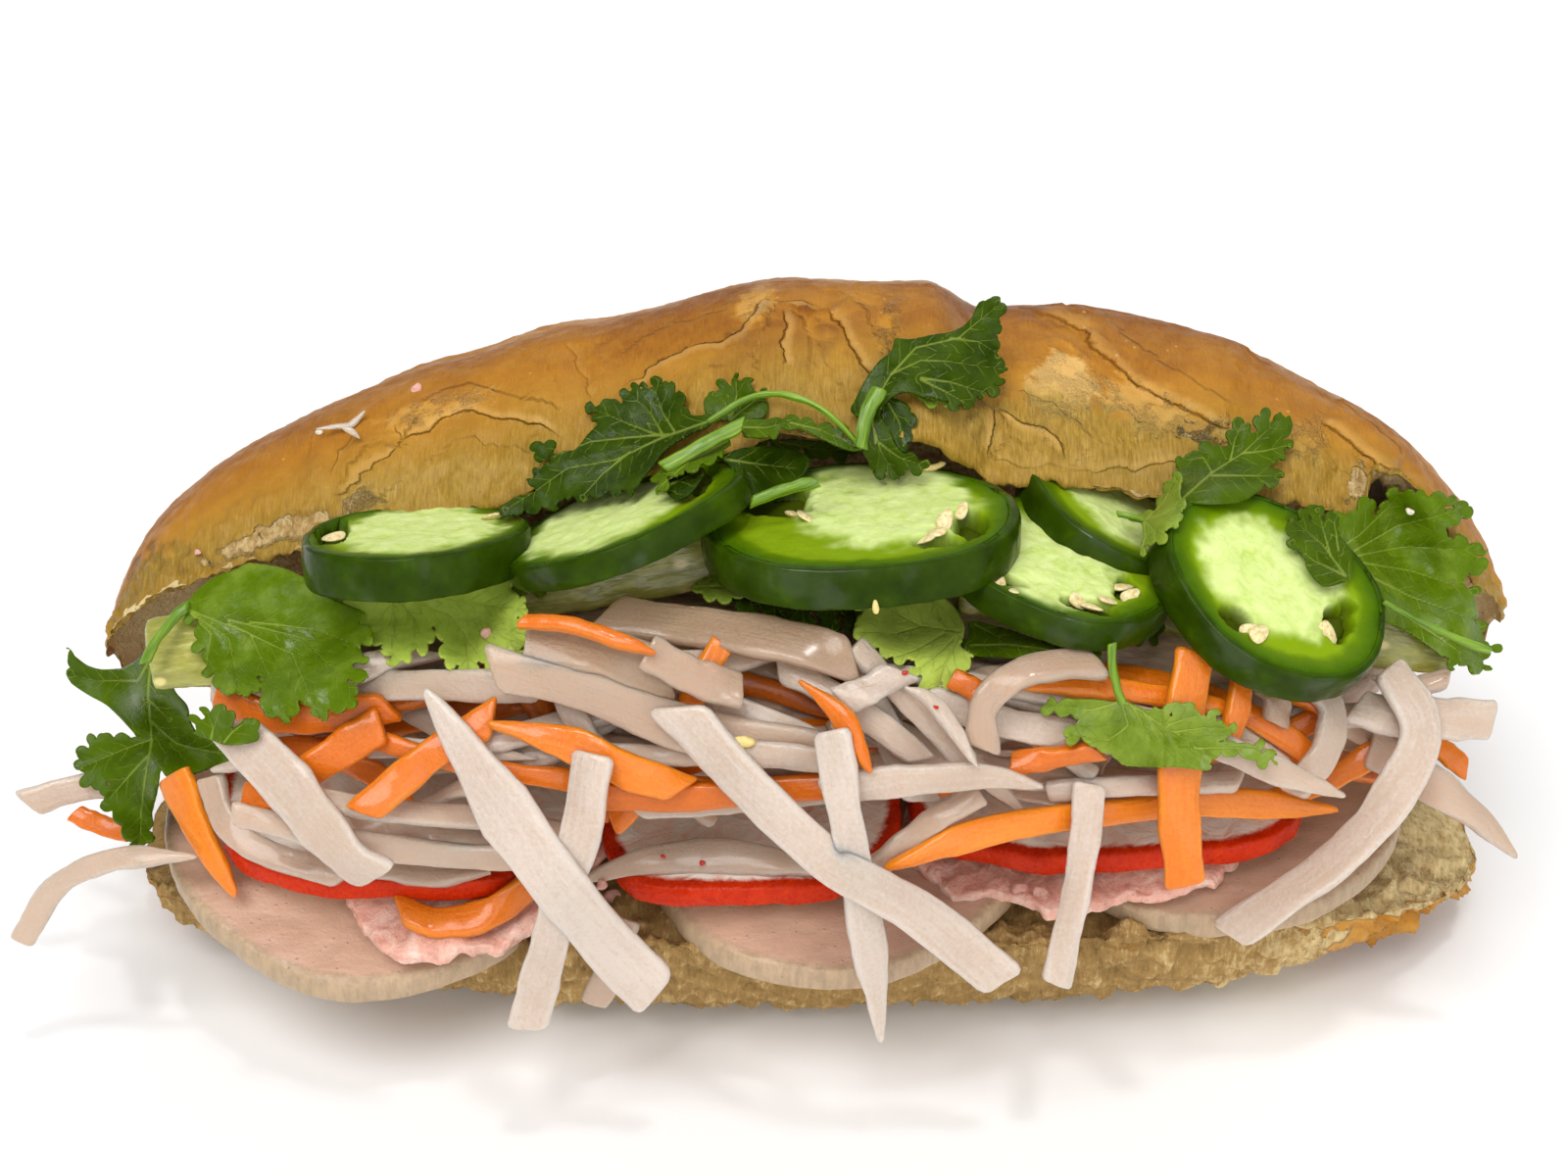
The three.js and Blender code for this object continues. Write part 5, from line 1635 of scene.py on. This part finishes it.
def leaf_run(start, runs, wave):
    """A close run of points round a leaf's outline, with its teeth."""
    points = walk(start, sum(runs, []))
    toothed = np.repeat(np.arange(len(runs)) % 2.0, [len(run) for run in runs])
    share = np.linspace(0, 1, 14, endpoint=False)[:, None]
    bend = 0.36
    curve, flags = [], []
    for i, point in enumerate(points):
        before, after, beyond = (points[(i + step) % len(points)] for step in (-1, 1, 2))
        rise = share * share * (3 - 2 * share)
        leave = (share**3 - 2 * share**2 + share) * (bend * (after - before))
        arrive = (share**3 - share**2) * (bend * (beyond - point))
        curve.append(lerp(point, after, rise) + leave + arrive)
        flags.append(lerp(toothed[i], toothed[(i + 1) % len(points)], share[:, 0]))
    curve, flags = np.vstack(curve), np.concatenate(flags)
    step = np.roll(curve, -1, axis=0) - np.roll(curve, 1, axis=0)
    area = (curve[:, 0] * np.roll(curve[:, 1], -1) - np.roll(curve[:, 0], -1) * curve[:, 1]).sum()
    out = unit(np.stack([step[:, 1], -step[:, 0]], axis=1)) * np.sign(area)
    length = np.cumsum(np.linalg.norm(step, axis=1)) / 2
    teeth = np.abs(np.cos(math.pi * length / LEAF_TOOTH + wave)) ** 0.62 - 0.62
    lobes = np.abs(np.cos(math.pi * length / LEAF_LOBE + wave)) ** 0.4 - 0.75
    return curve + out * ((1.05 * teeth + 0.75 * lobes) * flags)[:, None]


def inside_run(across, up, run):
    """Whether places lie inside a closed run of points."""
    turns = np.zeros(across.shape, dtype=int)
    for (x_0, y_0), (x_1, y_1) in zip(run, np.roll(run, -1, axis=0)):
        if y_0 != y_1:
            crosses = (y_0 > up) != (y_1 > up)
            left_of = across < (x_1 - x_0) * (up - y_0) / (y_1 - y_0) + x_0
            turns += (1 if y_1 > y_0 else -1) * (crosses & left_of)
    return turns != 0


def leaf_sheet(leaf, rng):
    """One leaf cut from a grid along its outline: its mesh, points and attributes."""
    start, runs, veins, light, lift, cup = leaf
    veins = [walk(start, vein) for vein in veins]
    run = leaf_run(start, runs, rng.uniform(0, math.tau))
    low = run.min(axis=0) - LEAF_STEP
    cells = np.ceil((run.max(axis=0) + LEAF_STEP - low) / LEAF_STEP).astype(int)
    bm = bmesh.new()
    bmesh.ops.create_grid(bm, x_segments=int(cells[0]), y_segments=int(cells[1]), size=1)
    middles = np.array([face.calc_center_median()[:2] for face in bm.faces])
    middles = low + (middles + 1) / 2 * cells * LEAF_STEP
    kept = inside_run(middles[:, 0], middles[:, 1], run)
    outside = [face for face, keep in zip(bm.faces, kept) if not keep]
    bmesh.ops.delete(bm, geom=outside, context="FACES")
    grid = np.rint((np.array([vert.co[:2] for vert in bm.verts]) + 1) / 2 * cells).astype(int)
    edge = np.array([vert.is_boundary for vert in bm.verts])
    place = low + grid * LEAF_STEP
    away = ((place[edge][:, None] - run[None]) ** 2).sum(axis=-1)
    place[edge] = run[away.argmin(axis=1)]
    mesh = bpy.data.meshes.new("leaf")
    bm.to_mesh(mesh)
    bm.free()
    columns, rows = np.meshgrid(np.arange(cells[0] + 1), np.arange(cells[1] + 1), indexing="ij")
    ground = FIELD.at(low[0] + columns * LEAF_STEP, low[1] + rows * LEAF_STEP)
    under = ground[grid[:, 0], grid[:, 1]]
    middle = np.median(under[under > FIELD.NOTHING / 2])
    ground = np.clip(ground, middle - 4, middle + 12)
    for _ in range(6):
        edged = np.pad(ground, 1, mode="edge")
        sides = (edged[2:, 1:-1], edged[:-2, 1:-1], edged[1:-1, 2:], edged[1:-1, :-2])
        ground = np.max([ground, *sides], axis=0)
    ground = blur(blur(ground, 70, 0), 70, 1)[grid[:, 0], grid[:, 1]]
    nearest = np.full(len(place), 1e9)
    branch = np.zeros(len(place))
    for vein in veins:
        away, share = route_distance(place[:, 0], place[:, 1], vein)
        away = np.abs(away)
        reach = sum(math.dist(one, other) for one, other in zip(vein, vein[1:]))
        thin = away / (1.0 - 0.6 * share)
        branch = np.where(thin < nearest, share * reach - 1.2 * away, branch)
        nearest = np.minimum(nearest, thin)
    far = np.linalg.norm(place - veins[0][0], axis=1)
    far = far / far.max()
    spot = np.stack([place[:, 0], place[:, 1], np.full(len(place), rng.uniform(0, 90))], axis=1)
    wave = 1.8 * far * lumps(spot, 9, 2) + 0.12 * lumps(spot, 2.5, 2)
    quilt = 0.35 * (1 - hump(nearest, 1.2))
    out = ground + lift + cup * (far**2 - 0.3) + wave + quilt
    points = face_point(place[:, 0], place[:, 1], out)
    return mesh, points, {"vein": nearest, "branch": branch, "light": np.full(len(place), light)}


def make_leaves(name, leaves, settings, finish, seed):
    """Lays leaves one over another and joins them into one piece."""
    rng = random.Random(seed)
    bm = bmesh.new()
    points, attributes = [], []
    for leaf in leaves:
        mesh, laid, zones = leaf_sheet(leaf, rng)
        bm.from_mesh(mesh)
        bpy.data.meshes.remove(mesh)
        FIELD.cover(laid)
        points.append(laid)
        attributes.append(zones)
    joined = bpy.data.meshes.new(name)
    bm.to_mesh(joined)
    bm.free()
    zones = {label: np.concatenate([each[label] for each in attributes]) for label in attributes[0]}
    piece = add_object(name, joined, np.vstack(points), finish, (), zones)
    solid = piece.modifiers.new("thickness", "SOLIDIFY")
    solid.thickness = settings.leaf_thickness
    solid.offset = 0


def leaf_finish(settings):
    finish = Finish("coriander", (0.25, 0.001, (0.6, 1.0, 0.1)))
    near = finish.attribute("vein")
    branch = finish.attribute("branch")
    light = finish.attribute("light")
    wobble = finish.noise(2.5, 2)
    cloud = finish.noise(5, 4, 0.6)
    fine = finish.noise(0.5, 3, 0.7)
    main = finish.span(near, 0.34, 0.08)
    side = finish.maths("PINGPONG", finish.total((branch, 1), (wobble, 1.6), (1, 40)), 1.25)
    side = finish.times(finish.span(side, 0.16, 0.03), finish.span(near, 4.5, 1, 0, 0.7))
    vein = finish.maths("MAXIMUM", main, side)
    # light carries each leaf's own tone together with its painted light and shade.
    tone = finish.total((light, 1), (cloud, 0.5), (fine, 0.12), (1, -0.3))
    colour = finish.ramp(
        tone, (0, settings.leaf_dark), (0.5, settings.leaf), (1, settings.leaf_light)
    )
    paler = finish.mix(0.38, colour, settings.leaf_light)
    finish.feed("Base Color", finish.mix(vein, colour, paler))
    finish.feed("Roughness", finish.span(cloud, 0.3, 0.7, 0.2, 0.42))
    finish.feed("Specular IOR Level", finish.span(finish.noise(8, 2), 0.5, 0.66, 0.09, 0.34))
    finish.bump((cloud, 0.4), (finish.maths("SUBTRACT", 1, vein), 0.14), (fine, 0.05))
    return finish.material


def stalk_finish():
    finish = Finish("coriander_stalk", (0.4, 0.001, (0.5, 1.0, 0.2)))
    grain = finish.attribute("grain", vector=True)
    lines = finish.noise(0.8, 3, stretch=(0.1, 2, 2), place=grain)
    colour = finish.ramp(lines, (0.3, srgb(70, 108, 8)), (0.6, srgb(122, 156, 30)), (0.8, srgb(164, 188, 70)))
    finish.feed("Base Color", colour)
    finish.feed("Roughness", finish.span(lines, 0.3, 0.7, 0.24, 0.4))
    finish.bump((lines, 0.15))
    return finish.material


# ---- small bits
# Bits lying on the rest, by kind: the colour, then each one's place in (across, up), half sizes and turn in
# degrees.
BITS = {
    "pink": (srgb(222, 168, 152), [
        ((-47.6, -6.9), (0.9, 0.75), 20), ((-96.7, -11.6), (0.5, 0.5), 0), ((-91.3, 5.4), (0.6, 0.5), 0),
        ((-58.2, 30), (1, 0.8), 40), ((-28.6, -46.7), (1.5, 1.2), 30), ((-30.2, -44.9), (0.9, 0.8), 0),
        ((33, -45.4), (1.4, 0.9), 10), ((36, -46), (1.2, 0.9), -20),
    ]),
    "seed": (srgb(232, 208, 130), [
        ((-9, -23.3), (1.9, 1), 5), ((20.1, 18.3), (1.9, 0.55), 18), ((11.2, -2.6), (0.5, 1.3), 10),
    ]),
    "red": (srgb(196, 30, 12), [
        ((20.3, -18), (0.45, 0.4), 0), ((-15, -41.5), (0.4, 0.35), 0), ((-21, -40.6), (0.35, 0.3), 0),
        ((15.6, -12.9), (0.4, 0.4), 0),
    ]),
    "white": (srgb(232, 220, 200), [
        ((-73, 23.6), (0.6, 0.5), 0), ((92, 11.5), (0.7, 0.6), 0),
    ]),
}
SHRED_THICKNESS = 0.6
SHREDS = [
    (1.0, [(-73.4, 24.0), (-70.5, 24.4), (-68.2, 24.6), (-66, 26.8)], "tip,tip"),
    (0.9, [(-69.8, 24.4), (-68, 23.6), (-66.8, 22.6)], "tip,tip"),
]


def make_bits():
    rng = random.Random(31)
    for kind, (colour, bits) in BITS.items():
        shell = Shell(10, 14, copies=len(bits))
        grids = []
        for (across, up), (half_x, half_y), turn in bits:
            cos, sin = math.cos(math.radians(turn)), math.sin(math.radians(turn))
            ring = np.sqrt(1 - shell.along**2)
            x, y = half_x * ring * np.cos(shell.around), half_y * ring * np.sin(shell.around)
            z = 0.6 * min(half_x, half_y) * shell.along + 0 * x
            ground = float(FIELD.at(np.array(across), np.array(up)))
            grids.append(face_point(across + x * cos - y * sin, up + x * sin + y * cos, ground + 0.3 + z))
        points = np.stack(grids)
        points = raised(points, 0.22 * lumps(points, 1.0, 2, rng.uniform(0, 9)))
        finish = Finish(f"bits_{kind}", (0.3, 0.0008))
        fine = finish.noise(0.7, 3, 0.6)
        finish.feed("Base Color", finish.ramp(fine, (0.3, tint(colour, 0.75)), (0.6, colour)))
        finish.feed("Roughness", finish.span(fine, 0.3, 0.7, 0.25, 0.5))
        finish.bump((fine, 0.15))
        add_piece(f"bits_{kind}", shell, points, finish.material, "pickle")


# ---- operators
class Step(bpy.types.Operator):
    """Shared by the steps that make pieces"""

    bl_options = {"REGISTER", "UNDO"}


class SANDWICH_OT_bread(Step):
    """Makes the lid, base and hinge of the roll"""

    bl_idname = "sandwich.bread"
    bl_label = "Bread"

    def execute(self, context):
        settings = context.scene.sandwich.bread
        finish = bread_finish("bread", settings)
        make_lid(settings, finish)
        make_base(finish)
        make_hinge(finish)
        return {"FINISHED"}


class SANDWICH_OT_meats(Step):
    """Makes the pork roll slices, the ham and the red-rim pork"""

    bl_idname = "sandwich.meats"
    bl_label = "Meats"

    def execute(self, context):
        settings = context.scene.sandwich.meat
        make_pork_roll(settings)
        make_ham(settings)
        make_red_rim(settings)
        return {"FINISHED"}


class SANDWICH_OT_pickle(Step):
    """Lays the daikon and carrot strips over the heap's core"""

    bl_idname = "sandwich.pickle"
    bl_label = "Pickled strips"

    def execute(self, context):
        settings = context.scene.sandwich.pickle
        make_core(settings)
        make_cucumber(context.scene.sandwich.green)
        cover_pieces("pickle_core", "cucumber", "bread_base", "pork", "ham", "red")
        thickness = settings.thickness / MM
        # In each list the darker colours are painted shade for strips deep in the heap or in the peppers'
        # shadow.
        daikon = strip_finish(
            "daikon", (0.8, 0.0025, (1.0, 0.85, 0.72)), 0.5, srgb(172, 150, 108), srgb(206, 176, 144),
            settings.daikon_deep, settings.daikon, srgb(226, 212, 200),
        )
        carrot = strip_finish(
            "carrot", (0.3, 0.0025, (1.0, 0.35, 0.05)), 0.15, srgb(176, 84, 8), srgb(196, 94, 8),
            srgb(212, 106, 10), settings.carrot, srgb(236, 138, 26),
        )
        fillers = plan_strips(filler_routes(CHANCE, settings.fillers), thickness, CHANCE, heap_roof())
        carrots = [CHANCE.random() < CARROT_SHARE for _ in fillers]
        for kind, finish, wanted in (("carrot", carrot, True), ("daikon", daikon, False)):
            chosen = [plan for plan, is_carrot in zip(fillers, carrots) if is_carrot == wanted]
            add_strips(f"{kind}_fillers", chosen, thickness, finish, "pickle", ["pickle_heap"])
        # The shades are painted shade: low for strips that lie deep or in the peppers' shadow, high for those
        # on top.
        for name, routes, finish, shades in (
            ("carrot_strips", CARROT_ROUTES, carrot, (0.4, 0.45, 0.6)),
            ("daikon_strips", DAIKON_ROUTES, daikon, (-0.1, 0.42, 0.65)),
            ("carrot_top_strips", CARROT_TOP_ROUTES, carrot, (0.6, 0.62, 0.8)),
            ("daikon_top_strips", DAIKON_TOP_ROUTES, daikon, (0.55, 0.6, 0.85)),
        ):
            plans = plan_strips(routes, thickness, CHANCE, shades=shades)
            add_strips(name, plans, thickness, finish, "pickle", ["pickle_heap"])
        return {"FINISHED"}


class SANDWICH_OT_greens(Step):
    """Makes the peppers, their seeds, the coriander and the small bits"""

    bl_idname = "sandwich.greens"
    bl_label = "Peppers, cucumber and coriander"

    def execute(self, context):
        settings = context.scene.sandwich.green
        finish = leaf_finish(settings)
        make_leaves("coriander_under", UNDER_LEAVES, settings, finish, 21)
        make_peppers(settings)
        make_seeds(settings)
        cover_pieces("bread_lid", "pepper")
        make_leaves("coriander_over", OVER_LEAVES, settings, finish, 22)
        stalk = stalk_finish()
        lay_strips("coriander_stalks", STALKS, STALK_THICKNESS, stalk, "coriander", random.Random(8))
        make_bits()
        daikon = bpy.data.materials["daikon"]
        lay_strips("bits_shred", SHREDS, SHRED_THICKNESS, daikon, "pickle", random.Random(3), squareness=0.8)
        return {"FINISHED"}


class SANDWICH_OT_stage(Step):
    """Makes the floor, the lights and the camera"""

    bl_idname = "sandwich.stage"
    bl_label = "Stage"

    def execute(self, context):
        settings = context.scene.sandwich.stage
        make_floor(settings)
        make_lights(settings)
        make_camera()
        return {"FINISHED"}


FLOOR_HALF_WIDTH = 4000 * MM


def make_floor(settings):
    bm = bmesh.new()
    bmesh.ops.create_grid(bm, x_segments=8, y_segments=8, size=FLOOR_HALF_WIDTH)
    mesh = bpy.data.meshes.new("floor")
    bm.to_mesh(mesh)
    bm.free()
    floor = bpy.data.objects.new("floor", mesh)
    bpy.context.scene.collection.objects.link(floor)
    finish = Finish("floor", Roughness=0.7, Specular_IOR_Level=0.2)
    cloud = finish.noise(60, 2)
    pale = settings.floor
    finish.feed("Base Color", finish.ramp(cloud, (0.3, tint(pale, 0.985)), (0.7, pale)))
    mesh.materials.append(finish.material)
    floor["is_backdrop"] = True


def add_soft_sun(name, place, strength, angle):
    """A wide far light that shines from the direction of a place onto the middle."""
    light = bpy.data.lights.new(name, "SUN")
    light.energy = strength
    light.angle = math.radians(angle)
    lamp = bpy.data.objects.new(name, light)
    lamp.matrix_world = Vector(place).to_track_quat("Z", "Y").to_matrix().to_4x4()
    bpy.context.scene.collection.objects.link(lamp)


def make_lights(settings):
    world = bpy.data.worlds.new("sky")
    world.use_nodes = True
    background = world.node_tree.nodes["Background"]
    background.inputs["Color"].default_value = (1.0, 1.0, 1.0, 1)
    background.inputs["Strength"].default_value = settings.sky
    bpy.context.scene.world = world
    add_soft_sun("key_light", (-0.3, -0.5, 1.0), settings.key_strength, 34)
    add_soft_sun("fill_light", (0.6, -0.9, 0.45), settings.fill_strength, 60)
    add_soft_sun("front_light", (-0.1, -1.2, 0.25), 0.6 * settings.fill_strength, 60)
    add_soft_sun("back_light", (0.3, 0.9, 0.9), 0.5 * settings.fill_strength, 60)
    add_soft_sun("spark_light", (0.12, -0.1, 1.1), 0.2 * settings.key_strength, 5)


# The camera's lens and sensor in mm.
LENS = 63.8
SENSOR_WIDTH = 36.0


def make_camera():
    camera = bpy.data.cameras.new("camera")
    camera.sensor_width = SENSOR_WIDTH
    camera.lens = LENS
    camera.clip_start = 0.01
    viewer = bpy.data.objects.new("camera", camera)
    place = EYE * MM
    axes = (ACROSS, FACE_UP, FACE_OUT, place)
    viewer.matrix_world = Matrix([[axis[i] for axis in axes] for i in range(3)] + [[0, 0, 0, 1]])
    bpy.context.scene.collection.objects.link(viewer)
    bpy.context.scene.camera = viewer
    bpy.context.scene.view_settings.view_transform = "Standard"


class SandwichSettings(bpy.types.PropertyGroup):
    """Everything a user would change"""

    bread: PointerProperty(type=BreadSettings)
    meat: PointerProperty(type=MeatSettings)
    pickle: PointerProperty(type=PickleSettings)
    green: PointerProperty(type=GreenSettings)
    stage: PointerProperty(type=StageSettings)


class SANDWICH_PT_panel(bpy.types.Panel):
    """Lists the steps and their settings"""

    bl_idname = "SANDWICH_PT_panel"
    bl_label = "Banh mi sandwich"
    bl_space_type = "VIEW_3D"
    bl_region_type = "UI"
    bl_category = "Sandwich"

    def draw(self, context):
        settings = context.scene.sandwich
        for step in STEPS:
            self.layout.operator(step.bl_idname)
        for group in (settings.bread, settings.meat, settings.pickle, settings.green, settings.stage):
            box = self.layout.box()
            for name in group.__annotations__:
                box.prop(group, name)


STEPS = (SANDWICH_OT_bread, SANDWICH_OT_meats, SANDWICH_OT_pickle, SANDWICH_OT_greens, SANDWICH_OT_stage)
GROUPS = (BreadSettings, MeatSettings, PickleSettings, GreenSettings, StageSettings, SandwichSettings)


def register():
    for item in (*GROUPS, *STEPS, SANDWICH_PT_panel):
        bpy.utils.register_class(item)
    bpy.types.Scene.sandwich = PointerProperty(type=SandwichSettings)


def unregister():
    del bpy.types.Scene.sandwich
    for item in reversed((*GROUPS, *STEPS, SANDWICH_PT_panel)):
        bpy.utils.unregister_class(item)


def main():
    register()
    for step in STEPS:
        getattr(bpy.ops.sandwich, step.bl_idname.split(".")[1])()
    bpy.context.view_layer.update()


if __name__ == "__main__":
    main()
